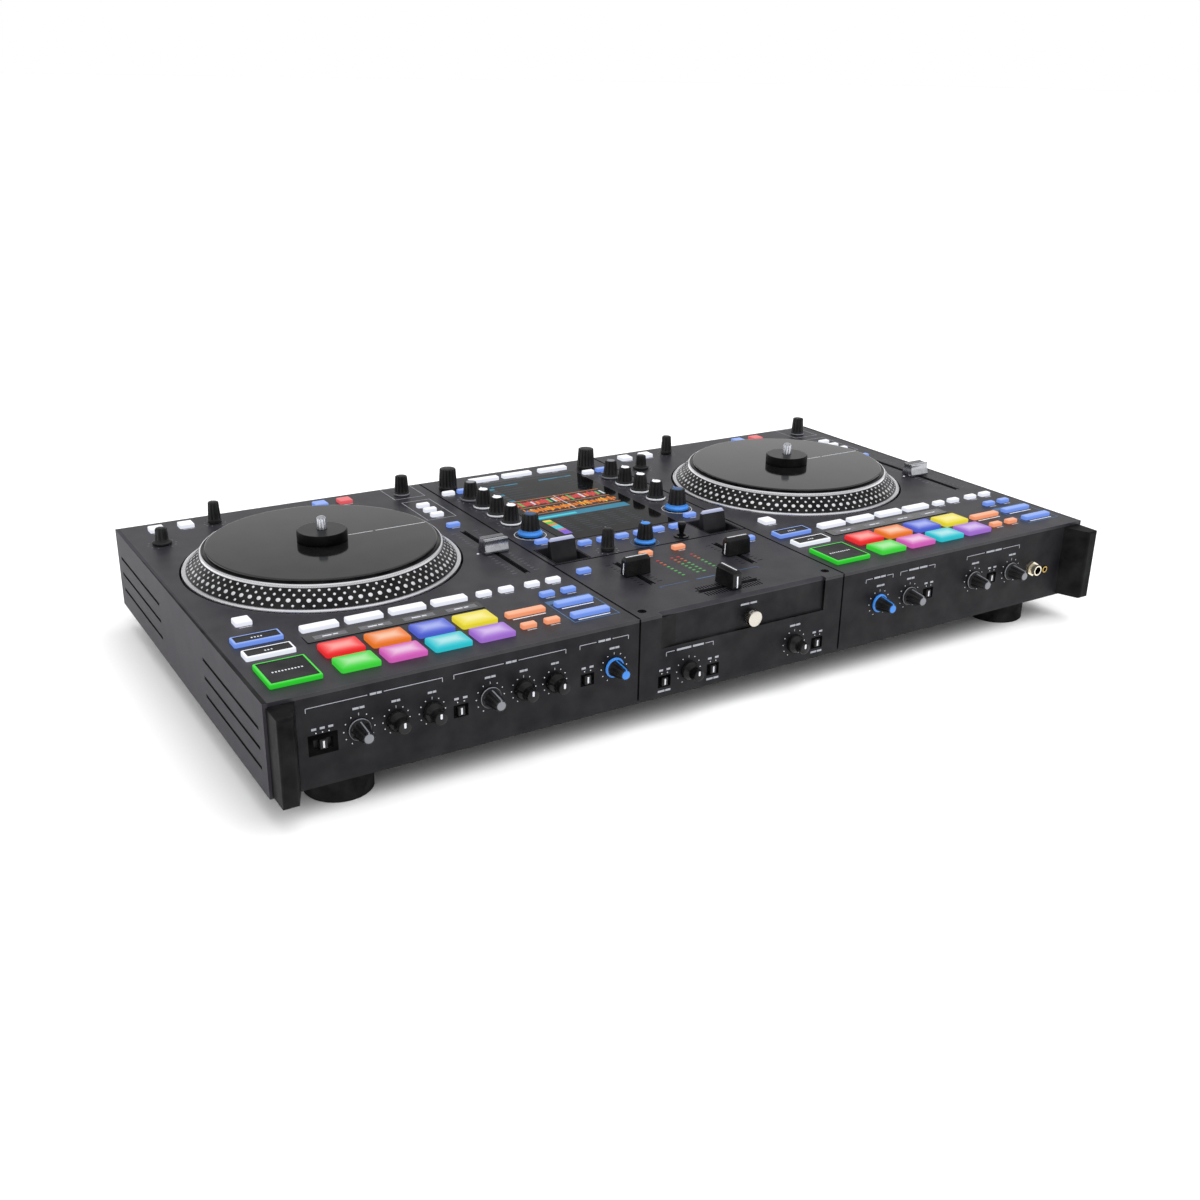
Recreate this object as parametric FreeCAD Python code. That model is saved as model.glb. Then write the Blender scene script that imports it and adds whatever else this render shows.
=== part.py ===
import FreeCAD, Part
import math
import os

os.makedirs("parts", exist_ok=True)
V = FreeCAD.Vector

# Case
CENTRE_WIDTH = 185.0
DECK_WIDTH = 267.5
CASE_DEPTH = 368.0
CASE_HEIGHT = 64.5
TOP_THICKNESS = 2.5
PANEL_THICKNESS = 3.0
SIDE_THICKNESS = 3.0
BOTTOM_THICKNESS = 2.0
SEAM = 0.6
FADER_PLATE_DEPTH = 122.2
FOOT_HEIGHT = 22.0
FOOT_RADIUS = 23.2
FOOT_INSET_X = 55.8
FOOT_INSET_Y = 33.0
POST_RADIUS = 4.0
POST_INSET = 7.8
EDGE = 0.6

# Corner grips and side grooves
GRIP_REACH = 20.0
GRIP_INNER = 20.0
GRIP_FACE = 10.0
GRIP_INSET = 2.0
GRIP_TOP_DROP = 3.2
GRIP_LOW_GAP = 1.5
GRIP_ROUND = 1.8
GROOVE_LENGTH = 117.0
GROOVE_START = 56.0
GROOVE_WIDTH = 2.6
GROOVE_DEPTH = 1.0
GROOVE_TOP = 20.8
GROOVE_PITCH = 13.6
GROOVE_ROWS = 3

# Clearances
RUN = 0.3
BORE_RUN = 0.05
SEAT = 0.3

# Platter, disc and adapter
PLATTER_X = -14.0
PLATTER_Y = 31.5
PLATTER_RADIUS = 104.4
WELL_GAP = 1.6
WELL_DEPTH = 10.0
WELL_WALL = 1.5
WELL_HOLE = 30.0
RING_WIDTH = 3.2
RING_TOP = 1.5
BAND_TOP_RADIUS = 90.8
BAND_TOP = 13.4
CROWN_RADIUS = 88.8
CROWN_TOP = 15.4
WEB_THICKNESS = 7.4
RIM_DROP = 6.0
RIM_WALL = 5.0
HUB_DROP = 2.0
HUB_RADIUS = 20.0
MAT_RADIUS = 86.0
MAT_THICKNESS = 0.8
DISC_RADIUS = 86.6
DISC_THICKNESS = 1.7
SPINDLE_RADIUS = 3.6
SPINDLE_TOP = 36.0
SPINDLE_NOSE = 1.2
SPINDLE_LENGTH = 62.0
ADAPTER_RADIUS = 19.05
ADAPTER_HEIGHT = 8.1
MOTOR_RADIUS = 45.0
MOTOR_HEIGHT = 26.0
MOTOR_SHOULDER = 4.0
SLEEVE_RADIUS = 12.0

# Right deck controls stand this much nearer the mixer
RIGHT_INSET = 2.6

# Buttons: how proud they stay when pressed, their travel, and the hidden flange
BUTTON_PROUD = 1.8
PAD_PROUD = 2.1
BUTTON_TRAVEL = 1.2
BUTTON_ROUND = 1.2
BUTTON_EDGE = 0.5
FLANGE = 1.0
FLANGE_THICKNESS = 1.0

# Pads, from the middle of the deck
PAD_WIDTH = 26.8
PAD_DEPTH = 19.7
PAD_PITCH_X = 32.1
PAD_PITCH_Y = 26.0
PAD_FIRST_X = -63.4
PAD_FIRST_Y = -157.2
PAD_COLUMNS = 4
PAD_ROWS = 2
PAD_ROUND = 2.0
MODE_Y = -90.6
MODE_SIZE = (26.3, 8.1)
STRIP_SIZE = (129.0, 12.2)
STRIP_PLACE = (-14.5, -106.3)
STRIP_HEIGHT = 0.5
STRIP_RECESS = 0.8

# Deck buttons: x and y from the middle of the deck, by size
SQUARE_SIZE = (11.6, 11.6)
SQUARE_PLACES = [(-105.6, -57.2), (-105.6, 165.0), (-81.9, 165.0), (33.1, 165.0), (55.1, 165.0)]
SMALL_SIZE = (11.1, 5.8)
SMALL_PLACES = [(60.2, -90.9), (78.2, -90.9), (99.7, -90.9), (117.4, -90.9),
                (99.7, -113.2), (117.4, -113.2), (60.2, -157.7), (78.4, -157.7),
                (109.0, 120.3), (109.0, 106.1), (109.0, 91.9), (109.0, 60.5)]
LONG_SIZE = (29.9, 6.8)
LONG_PLACES = [(69.5, -135.9), (109.0, -134.9), (109.0, -157.7)]
WIDE_SIZE = (33.0, 12.7)
WIDE_PLACES = [(-106.2, -90.4), (-106.2, -114.6)]
START_SIZE = (34.0, 34.7)
START_PLACE = (-105.9, -149.7)

# Fluted knobs: base and top radius, height, skirt radius and height; number of flutes
STRIP_KNOB_SIZE = (6.8, 5.3, 16.4, 8.6, 3.8)
STRIP_KNOB_FLUTES = 12
BROWSE_KNOB_SIZE = (8.2, 7.2, 20.0, 8.4, 4.2)
BROWSE_KNOB_FLUTES = 16
SLIM_KNOB_SIZE = (5.3, 4.4, 18.2, 5.6, 3.8)
SLIM_KNOB_FLUTES = 10
FLARED_KNOB_SIZE = (5.2, 4.6, 13.2, 7.6, 4.0)
FLARED_KNOB_FLUTES = 8
REAR_ENCODER_SIZE = (6.3, 5.3, 17.5, 7.0, 3.4)
REAR_ENCODER_FLUTES = 12
LEVEL_KNOB_SIZE = (6.0, 4.3, 15.7, 7.4, 2.4)
LEVEL_KNOB_FLUTES = 10

# Smooth bell-shaped knobs: foot and end radius, height
TONE_KNOB_SIZE = (7.2, 4.4, 13.7)
BELL_STEPS = 6
KNOB_STEM = 3.0
NOTCH_WIDTH = 1.0
NOTCH_DEPTH = 0.3

# Deck knobs and pitch fader
FLARED_PLACE = (-110.0, 130.0)
SLIM_PLACE = (-59.0, 162.0)
REAR_ENCODER_PLACE = (106.9, 160.5)
PITCH_X = 109.8
PITCH_Y = -10.6
PITCH_TRAVEL = 51.8
PITCH_CAP = (20.5, 14.0, 12.0)

# Mixer plate, from the middle of the case
KNOB_COLUMN_X = 72.4
KNOB_ROW_Y = [118.5, 93.7, 68.4, 43.0, 10.1]
KNOB_ROW_NAMES = ["trim", "high", "mid", "low", "filter"]
BROWSE_PLACES = [(-77.0, 154.6), (67.0, 154.4)]
DEPTH_PLACE = (-0.6, -50.4)
SLIM_CENTRE_PLACE = (-37.3, -52.4)
TOGGLE_PLACE = (33.4, -52.7)
TOGGLE_ROOM = 3.8
TOGGLE_COLLAR = (6.2, 1.2)
TOGGLE_BALL = 2.7
TOGGLE_BALL_DROP = 3.0
TOGGLE_STICK = 1.9
TOGGLE_TIP = 3.4
TOGGLE_HEIGHT = 12.4
PADDLE_X = 72.6
PADDLE_Y = -42.0
PADDLE_WELL = (29.4, 33.4)
PADDLE_SIZE = (22.8, 8.4)
PADDLE_HEIGHT = 13.8
PADDLE_SHOULDER = 11.4
PADDLE_CREST = (19.4, 1.8)
PADDLE_KNEE = 2.6
PADDLE_FRONT_LEAN = 3.7
PADDLE_BACK_LEAN = 1.0
PADDLE_BEVEL = 0.8
PADDLE_DROP = 9.0
PADDLE_HEEL = 4.0
PADDLE_WELL_DEPTH = 15.0
PADDLE_WELL_WALL = 1.5
PADDLE_PIN = 1.5
PADDLE_ROUND = 1.0
REAR_LONG_SIZE = (29.5, 7.0)
REAR_LONG_PLACES = [(-36.5, 164.6), (-2.0, 164.6), (36.0, 164.6)]
MIXER_SMALL_PLACES = [(-83.0, 141.3), (61.0, 140.2), (-68.3, 141.8), (76.4, 141.8),
                      (-74.0, -11.3), (70.5, -11.8)]
ROW_BUTTONS = 6
ROW_FIRST_X = -45.1
ROW_PITCH = 17.6
ROW_Y = -30.4
SCREEN_X = -1.5
SCREEN_WIDTH = 108.0
SCREEN_DEPTH = 171.0
SCREEN_Y = 68.4
GLASS_THICKNESS = 1.6
CAN_BORDER = 1.5
CAN_DEPTH = 9.0
CAN_LIP = 1.2

# Fader plate, from the middle of the case
ORANGE_PLACES = [(-16.4, -75.4), (14.7, -75.2)]
BLUE_PLACES = [(-79.0, -85.3), (76.8, -85.3)]
CHANNEL_X = 47.1
CHANNEL_Y = -105.3
CHANNEL_REST = -2.7
CHANNEL_TRAVEL = 23.0
CROSS_Y = -161.0
CROSS_TRAVEL = 24.4
FADER_CAP = (22.0, 8.6, 14.9)
CAP_SHOULDER = 11.8
CAP_LEAN = 0.5
CAP_CREST = (17.6, 4.2)
CAP_LINE = 1.0
CAP_GROOVE = 0.7
SLOT_WIDTH = 2.6
BLADE = 1.5
BLADE_LENGTH = 4.0
BLADE_DROP = 5.0
TRACK_WIDTH = 9.0
TRACK_DEPTH = 8.0
TRACK_WALL = 1.5
TRACK_END = 3.0
PLATE_SCREW_PLACES = [(-83.5, -172.2), (83.5, -172.2)]

# Front panels: places from the middle of the case and down from the top surface
FRONT_LEVEL_PLACES = [(-300.3, 31.4), (-209.1, 31.4), (-113.4, 31.4),
                      (131.6, 31.4), (163.5, 31.4), (235.4, 31.4), (278.5, 31.4)]
FRONT_KNOB_NAMES = ["mic_level_knob_1", "mic_level_knob_2", "mic_effect_knob", "sampler_knob"]
FRONT_TONE_PLACES = [(-275.4, 31.4), (-250.6, 31.4), (-184.3, 31.4), (-160.5, 31.4)]
CONTOUR_PLACES = [(-49.6, 47.6), (47.6, 47.6)]
SWITCH_PLACES = [(-324.1, 35.4), (-230.4, 36.0), (-134.7, 36.0), (184.3, 33.4), (256.2, 33.4),
                 (-70.4, 52.2), (-27.8, 52.2), (70.4, 52.2)]
SWITCH_KEY = (4.8, 6.4)
SWITCH_HOLE = (9.0, 7.4)
THREE_WAY_HOLE = 12.6
SWITCH_REACH = 1.2
SWITCH_TRAVEL = 1.8
SWITCH_FOOT_THICKNESS = 1.0
SWITCH_WALL = 1.0
TENSION_PLACE = (4.5, 17.4)
TENSION_RADIUS = 6.1
TENSION_REACH = 6.0
TENSION_NECK = 1.4
COVER_HALF = 74.4
COVER_BOTTOM = 26.3
COVER_DEPTH = 2.0
COVER_RAMP = 13.5
COVER_LIP = 3.0
BIG_JACK_PLACE = (303.8, 33.4)
SMALL_JACK_PLACE = (321.0, 37.5)
BIG_JACK_BORE = 3.2
BIG_JACK_BARREL = 4.4
BIG_JACK_REACH = 8.0
BIG_JACK_DEPTH = 22.0
BIG_JACK_NUT = 11.2
BIG_JACK_NUT_THICKNESS = 3.0
SMALL_JACK_BORE = 1.8
SMALL_JACK_BARREL = 2.9
SMALL_JACK_REACH = 1.2
SMALL_JACK_DEPTH = 12.0
JACK_END = 2.0

# Rear panel sockets: places from the middle of the case, and down from the top surface
REAR_REACH = 8.0
SOCKET_DROP = 32.0
SOCKET_WALL = 1.5
SOCKET_RUN = 0.2
XLR_X = [-215.0, -180.0, 170.0, 205.0]
XLR_BORE = 9.7
XLR_FLANGE = (26.0, 30.0, 2.0)
XLR_DEPTH = 15.0
TRS_X = [-146.0, -122.0]
TRS_BARREL = 5.5
TRS_NUT = (7.0, 2.0)
TRS_DEPTH = 24.0
PHONO_X = [-66.0, -42.0, -18.0]
PHONO_SPREAD = 8.5
PHONO_RADIUS = 4.2
PHONO_BORE = 1.7
PHONO_DEPTH = 7.0
PHONO_FLANGE = (6.2, 1.0)
USB_B_X = [26.0, 46.0]
USB_B_CAVITY = (8.6, 7.8)
USB_A_X = [67.0, 122.0]
USB_A_CAVITY = (12.6, 5.2)
USB_DEPTH = 12.0
USB_LIP = 0.8
INLET_X = -300.0
INLET_CAVITY = (24.0, 16.0)
INLET_DEPTH = 18.0
INLET_LIP = 2.0
LIP_BORDER = 1.2
POWER_X = -262.0
GROUND_X = 4.0
GROUND_RADIUS = 4.5
GROUND_STEM = 2.0
GROUND_REACH = 6.2

# Circuit boards, pots and power supply
POT_SIZE = 10.0
POT_DEPTH = 5.6
BOARD_THICKNESS = 1.6
BOARD_MARGIN = 7.0
FRONT_BOARD_EDGE = 4.0
STANDOFF_RADIUS = 2.5
MAIN_BOARD = (150.0, 110.0)
MAIN_BOARD_Y = -20.0
MAIN_BOARD_LIFT = 10.0
SUPPLY = (120.0, 90.0, 28.0)
SUPPLY_Y = 105.0
SUPPLY_ROUND = 3.0
BRACKET_DEPTH = 3.0

# Screws
SCREW_SHANK = 1.5
SCREW_HEAD = 3.0
SCREW_HEAD_HEIGHT = 1.8
SCREW_SOCKET = 1.2
SCREW_SOCKET_DEPTH = 1.0
SCREW_LENGTH = 8.0
SCREW_END_ROOM = 1.0

# Length of the cutters beyond the face they cut
OVER = 1.0

# Faces worked out from the sizes above
WIDTH = CENTRE_WIDTH + 2 * DECK_WIDTH
HALF_WIDTH = WIDTH / 2
HALF_CENTRE = CENTRE_WIDTH / 2
HALF_DEPTH = CASE_DEPTH / 2
TOP = FOOT_HEIGHT + CASE_HEIGHT
UNDER_TOP = TOP - TOP_THICKNESS
FLOOR = FOOT_HEIGHT + BOTTOM_THICKNESS
FRONT = -HALF_DEPTH
INNER_FRONT = FRONT + PANEL_THICKNESS

# Places and the widest outlines were measured on decks 267.5 wide, a mixer 185 wide and a case
# 368 deep, and they spread with the case
DECK_SPREAD = DECK_WIDTH / 267.5
MIXER_SPREAD = CENTRE_WIDTH / 185.0
DEPTH_SPREAD = CASE_DEPTH / 368.0
PLATTER_SPREAD = min(DECK_SPREAD, DEPTH_SPREAD)


def on_deck(deck_x, place):
    """A place measured from the middle of a deck."""
    return deck_x + place[0] * DECK_SPREAD, place[1] * DEPTH_SPREAD


def on_mixer(place):
    """A place measured from the middle of the case, on the mixer."""
    return place[0] * MIXER_SPREAD, place[1] * DEPTH_SPREAD


def along_width(x):
    """A place on the front or rear wall, which spreads with the mixer and beyond it with the decks."""
    seam = HALF_CENTRE / MIXER_SPREAD
    if abs(x) < seam:
        return x * MIXER_SPREAD
    return math.copysign(HALF_CENTRE + (abs(x) - seam) * DECK_SPREAD, x)


def on_wall(places):
    return [(along_width(x), down) for x, down in places]


# Places worked out from the sizes above
FADER_PLATE_LENGTH = FADER_PLATE_DEPTH * DEPTH_SPREAD
PLATTER_RIM = PLATTER_RADIUS * PLATTER_SPREAD
BAND_RIM = BAND_TOP_RADIUS * PLATTER_SPREAD
CROWN_RIM = CROWN_RADIUS * PLATTER_SPREAD
MAT_RIM = MAT_RADIUS * PLATTER_SPREAD
DISC_RIM = DISC_RADIUS * PLATTER_SPREAD
KNOB_COLUMN_AT = KNOB_COLUMN_X * MIXER_SPREAD
KNOB_ROWS_AT = [y * DEPTH_SPREAD for y in KNOB_ROW_Y]
BROWSE_AT = [on_mixer(place) for place in BROWSE_PLACES]
DEPTH_AT = on_mixer(DEPTH_PLACE)
SLIM_CENTRE_AT = on_mixer(SLIM_CENTRE_PLACE)
TOGGLE_AT = on_mixer(TOGGLE_PLACE)
PADDLE_AT = on_mixer((PADDLE_X, PADDLE_Y))
CHANNEL_AT = on_mixer((CHANNEL_X, CHANNEL_Y))
CROSS_AT = CROSS_Y * DEPTH_SPREAD
PLATE_SCREWS_AT = [on_mixer(place) for place in PLATE_SCREW_PLACES]
SCREEN_AT = on_mixer((SCREEN_X, SCREEN_Y))
GLASS_WIDTH = SCREEN_WIDTH * MIXER_SPREAD
GLASS_DEPTH = SCREEN_DEPTH * DEPTH_SPREAD
COVER_SIDE = COVER_HALF * MIXER_SPREAD
FRONT_LEVELS_AT = on_wall(FRONT_LEVEL_PLACES)
FRONT_TONES_AT = on_wall(FRONT_TONE_PLACES)
CONTOURS_AT = on_wall(CONTOUR_PLACES)
SWITCHES_AT = on_wall(SWITCH_PLACES)
TENSION_AT, BIG_JACK_AT, SMALL_JACK_AT = on_wall([TENSION_PLACE, BIG_JACK_PLACE, SMALL_JACK_PLACE])
XLR_AT = [along_width(x) for x in XLR_X]
TRS_AT = [along_width(x) for x in TRS_X]
PHONO_AT = [along_width(x) for x in PHONO_X]
USB_B_AT = [along_width(x) for x in USB_B_X]
USB_A_AT = [along_width(x) for x in USB_A_X]
INLET_AT = along_width(INLET_X)
POWER_AT = along_width(POWER_X)
GROUND_AT = along_width(GROUND_X)
SEAM_Y = FRONT + FADER_PLATE_LENGTH
LEFT_DECK_X = -(CENTRE_WIDTH + DECK_WIDTH) / 2
RIGHT_DECK_X = -LEFT_DECK_X - RIGHT_INSET
WELL_RADIUS = PLATTER_RIM + WELL_GAP
BUTTON_HEIGHT = BUTTON_PROUD + BUTTON_TRAVEL
PAD_HEIGHT = PAD_PROUD + BUTTON_TRAVEL
SLOT_END_ROOM = BLADE_LENGTH + 2 * RUN
PITCH_SLOT = 2 * PITCH_TRAVEL + SLOT_END_ROOM
CHANNEL_SLOT = 2 * CHANNEL_TRAVEL + SLOT_END_ROOM
CROSS_SLOT = 2 * CROSS_TRAVEL + SLOT_END_ROOM
SWITCH_FOOT = (SWITCH_HOLE[0] + 2 * SWITCH_TRAVEL, SWITCH_HOLE[1] + 2 * SWITCH_WALL)
POT_TOP = UNDER_TOP - SEAT
BOARD_TOP = POT_TOP - POT_DEPTH
SHIFT_Y = (GRIP_REACH - REAR_REACH) / 2
DECKS = {"left": LEFT_DECK_X, "right": RIGHT_DECK_X}


def block(x, y, width, depth, low, high, corner=0.0):
    """Upright block around x, y, with its four upright edges rounded."""
    shape = Part.makeBox(width, depth, high - low, V(x - width / 2, y - depth / 2, low))
    if corner > 0:
        upright = [e for e in shape.Edges if abs(e.tangentAt(e.FirstParameter).z) > 0.9]
        shape = shape.makeFillet(corner, upright)
    return shape


def rod(x, y, radius, low, high):
    return Part.makeCylinder(radius, high - low, V(x, y, low))


def edges_above(shape, height):
    """The edges of a flat top face at the given height."""
    return [e for e in shape.Edges if e.BoundBox.ZMin > height - BORE_RUN]


def turned(points):
    """Solid of revolution about Z from a list of radius and height pairs."""
    wire = Part.makePolygon([V(r, 0, z) for r, z in points + points[:1]])
    return Part.Face(wire).revolve(V(0, 0, 0), V(0, 0, 1), 360)


def along_x(points, x_low, x_high):
    """Outline in Y and Z, drawn out along X."""
    wire = Part.makePolygon([V(x_low, y, z) for y, z in points + points[:1]])
    return Part.Face(wire).extrude(V(x_high - x_low, 0, 0))


def along_y(points, y_low, y_high):
    """Outline in X and Z, drawn out along Y."""
    wire = Part.makePolygon([V(x, y_low, z) for x, z in points + points[:1]])
    return Part.Face(wire).extrude(V(0, y_high - y_low, 0))


def upright_outline(points, low, high):
    """Outline in X and Y, drawn out along Z."""
    wire = Part.makePolygon([V(x, y, low) for x, y in points + points[:1]])
    return Part.Face(wire).extrude(V(0, 0, high - low))


def moved(shape, x, y, z=0.0):
    copy = shape.copy()
    copy.translate(V(x, y, z))
    return copy


def on_front(shape, x, down, wall=FRONT):
    """Turn a shape built on +Z so that it stands out of the front wall."""
    copy = shape.copy()
    copy.rotate(V(0, 0, 0), V(1, 0, 0), 90)
    copy.translate(V(x, wall, TOP - down))
    return copy


def on_rear(shape, x, down):
    """Turn a shape built on +Z so that it stands out of the rear wall."""
    copy = shape.copy()
    copy.rotate(V(0, 0, 0), V(1, 0, 0), -90)
    copy.translate(V(x, HALF_DEPTH, TOP - down))
    return copy


def save(name, shapes):
    """Write one sub-part, with the part's middle moved over the origin."""
    solids = shapes if isinstance(shapes, list) else [shapes]
    whole = solids[0] if len(solids) == 1 else Part.makeCompound(solids)
    whole = whole.copy()
    whole.translate(V(0, SHIFT_Y, 0))
    whole.exportStep("parts/" + name + ".step")


# Knobs
def knob(size, flutes, wall=TOP_THICKNESS):
    """Fluted knob on its own Z axis, with a skirt, a raised cap and a stem through its wall."""
    base_radius, top_radius, height, skirt_radius, skirt_height = size
    low = 2 * SEAT
    rim = low + skirt_height * 0.35
    cap_radius = top_radius * 0.82
    body = turned([(0, -wall), (KNOB_STEM, -wall), (KNOB_STEM, low), (skirt_radius, low),
                   (skirt_radius, rim), (base_radius, skirt_height), (top_radius, height - EDGE),
                   (top_radius - EDGE, height), (cap_radius, height), (cap_radius, height + SEAT),
                   (0, height + SEAT)])
    flute_radius = base_radius * 0.14
    reach = base_radius + flute_radius / 2
    lean = base_radius - top_radius
    cuts = []
    for i in range(flutes):
        angle = 2 * math.pi * (i + 0.5) / flutes
        foot = V(reach * math.cos(angle), reach * math.sin(angle), skirt_height)
        way = V(-lean * math.cos(angle), -lean * math.sin(angle), height - skirt_height)
        cuts.append(Part.makeCylinder(flute_radius, way.Length * 1.2, foot, way))
    cuts.append(Part.makeBox(NOTCH_WIDTH, top_radius, NOTCH_DEPTH + OVER,
                             V(-NOTCH_WIDTH / 2, 0, height - NOTCH_DEPTH)))
    return body.cut(cuts)


def bell_knob(size, wall):
    """Smooth knob on its own Z axis, drawn in from a round foot to a slimmer end."""
    foot_radius, end_radius, height = size
    low = 2 * SEAT
    rim = height * 0.2
    waist = height * 0.6
    profile = [(0, -wall), (KNOB_STEM, -wall), (KNOB_STEM, low), (foot_radius, low)]
    for i in range(BELL_STEPS + 1):
        share = i / BELL_STEPS
        drawn_in = (foot_radius - end_radius) * (1 - math.cos(math.pi * share)) / 2
        profile.append((foot_radius - drawn_in, rim + (waist - rim) * share))
    profile += [(end_radius, height - EDGE), (end_radius - EDGE, height), (0, height)]
    notch = Part.makeBox(NOTCH_WIDTH, end_radius, NOTCH_DEPTH + OVER,
                         V(-NOTCH_WIDTH / 2, 0, height - NOTCH_DEPTH))
    return turned(profile).cut(notch)


STRIP_KNOB = knob(STRIP_KNOB_SIZE, STRIP_KNOB_FLUTES)
BROWSE_KNOB = knob(BROWSE_KNOB_SIZE, BROWSE_KNOB_FLUTES)
SLIM_KNOB = knob(SLIM_KNOB_SIZE, SLIM_KNOB_FLUTES)
FLARED_KNOB = knob(FLARED_KNOB_SIZE, FLARED_KNOB_FLUTES)
REAR_ENCODER = knob(REAR_ENCODER_SIZE, REAR_ENCODER_FLUTES)
LEVEL_KNOB = knob(LEVEL_KNOB_SIZE, LEVEL_KNOB_FLUTES, PANEL_THICKNESS)
TONE_KNOB = bell_knob(TONE_KNOB_SIZE, PANEL_THICKNESS)


# Buttons
def button(x, y, size, height=BUTTON_HEIGHT, corner=BUTTON_ROUND):
    """Button cap through its plate, with a flange that keeps it from coming out."""
    width, depth = size
    cap = block(x, y, width, depth, UNDER_TOP - RUN, TOP + height, corner)
    cap = cap.makeFillet(BUTTON_EDGE, edges_above(cap, TOP + height))
    flange = block(x, y, width + 2 * FLANGE, depth + 2 * FLANGE,
                   UNDER_TOP - RUN - FLANGE_THICKNESS, UNDER_TOP - RUN)
    return cap.fuse(flange).removeSplitter()


def button_hole(x, y, size, corner=BUTTON_ROUND):
    width, depth = size
    return block(x, y, width + 2 * RUN, depth + 2 * RUN, UNDER_TOP - OVER, TOP + OVER, corner + RUN)


def deck_button_list(deck_x):
    """Every lit button of one deck except the pads, as x, y and size."""
    found = []
    for places, size in [(SQUARE_PLACES, SQUARE_SIZE), (SMALL_PLACES, SMALL_SIZE),
                         (LONG_PLACES, LONG_SIZE), (WIDE_PLACES, WIDE_SIZE),
                         ([START_PLACE], START_SIZE)]:
        for place in places:
            found.append(on_deck(deck_x, place) + (size,))
    for column in range(PAD_COLUMNS):
        place = (PAD_FIRST_X + column * PAD_PITCH_X, MODE_Y)
        found.append(on_deck(deck_x, place) + (MODE_SIZE,))
    return found


def pad_list(deck_x):
    found = []
    for row in range(PAD_ROWS):
        for column in range(PAD_COLUMNS):
            place = (PAD_FIRST_X + column * PAD_PITCH_X, PAD_FIRST_Y + row * PAD_PITCH_Y)
            found.append(on_deck(deck_x, place) + ((PAD_WIDTH, PAD_DEPTH),))
    return found


def mixer_button_list():
    row = [(ROW_FIRST_X + i * ROW_PITCH, ROW_Y) for i in range(ROW_BUTTONS)]
    found = [on_mixer(place) + (REAR_LONG_SIZE,) for place in REAR_LONG_PLACES]
    return found + [on_mixer(place) + (SMALL_SIZE,) for place in MIXER_SMALL_PLACES + row]


def fader_plate_button_list():
    return [on_mixer(place) + (SMALL_SIZE,) for place in ORANGE_PLACES + BLUE_PLACES]


# Faders
def blade():
    """Blade under a fader cap, long in Y, that runs in the slot and its track."""
    high = 2 * SEAT
    low = -TOP_THICKNESS - BLADE_DROP
    return Part.makeBox(BLADE, BLADE_LENGTH, high - low, V(-BLADE / 2, -BLADE_LENGTH / 2, low))


def fader_cap():
    """Cap on its own axis, long in X, with leaning sides, a bevelled top and a groove along it."""
    width, depth, height = FADER_CAP
    crest_width, crest_depth = CAP_CREST
    low = 2 * SEAT
    end = width / 2
    side = depth / 2
    ends = [(-end, low), (end, low), (end - CAP_LEAN, CAP_SHOULDER), (crest_width / 2, height),
            (-crest_width / 2, height), (-end + CAP_LEAN, CAP_SHOULDER)]
    flanks = [(-side, low), (side, low), (side - CAP_LEAN, CAP_SHOULDER), (crest_depth / 2, height),
              (CAP_LINE / 2, height), (CAP_LINE / 2, height - CAP_GROOVE),
              (-CAP_LINE / 2, height - CAP_GROOVE), (-CAP_LINE / 2, height),
              (-crest_depth / 2, height), (-side + CAP_LEAN, CAP_SHOULDER)]
    cap = along_x(flanks, -end, end).common(along_y(ends, -side, side))
    return cap.fuse(blade()).removeSplitter()


def pitch_cap():
    """Wide metal cap with hollow front, back and top faces."""
    width, depth, height = PITCH_CAP
    low = 2 * SEAT
    side = depth / 2
    crest = depth * 0.34
    waist = depth * 0.36
    middle = height * 0.45
    front = Part.Arc(V(0, -side, low), V(0, -waist, middle), V(0, -crest, height)).toShape()
    top = Part.Arc(V(0, -crest, height), V(0, 0, height - CAP_GROOVE), V(0, crest, height)).toShape()
    back = Part.Arc(V(0, crest, height), V(0, waist, middle), V(0, side, low)).toShape()
    under = Part.makeLine(V(0, side, low), V(0, -side, low))
    cap = Part.Face(Part.Wire([front, top, back, under])).extrude(V(width, 0, 0))
    return moved(cap, -width / 2, 0).fuse(blade()).removeSplitter()


def slot(x, y, length, across=False):
    size = (length, SLOT_WIDTH) if across else (SLOT_WIDTH, length)
    return block(x, y, size[0], size[1], UNDER_TOP - OVER, TOP + OVER, SLOT_WIDTH * 0.4)


def track(x, y, length, across=False):
    """Fader body under its slot, open along the top for the blade."""
    long_side = length + 2 * TRACK_END
    outer = (long_side, TRACK_WIDTH) if across else (TRACK_WIDTH, long_side)
    inner = (length, SLOT_WIDTH) if across else (SLOT_WIDTH, length)
    body = block(x, y, outer[0], outer[1], UNDER_TOP - TRACK_DEPTH, UNDER_TOP)
    groove = block(x, y, inner[0], inner[1], UNDER_TOP - TRACK_DEPTH + TRACK_WALL, UNDER_TOP + OVER)
    return body.cut(groove)


# Case plates
def knob_holes(places):
    return [rod(x, y, KNOB_STEM + RUN, UNDER_TOP - OVER, TOP + OVER) for x, y in places]


def post(x, y):
    """Hanging post, bored for the screw that comes up through the bottom plate."""
    body = rod(x, y, POST_RADIUS, FLOOR, UNDER_TOP)
    bore = rod(x, y, SCREW_SHANK + BORE_RUN, FLOOR - OVER, FLOOR + SCREW_LENGTH)
    return body.cut(bore)


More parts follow.
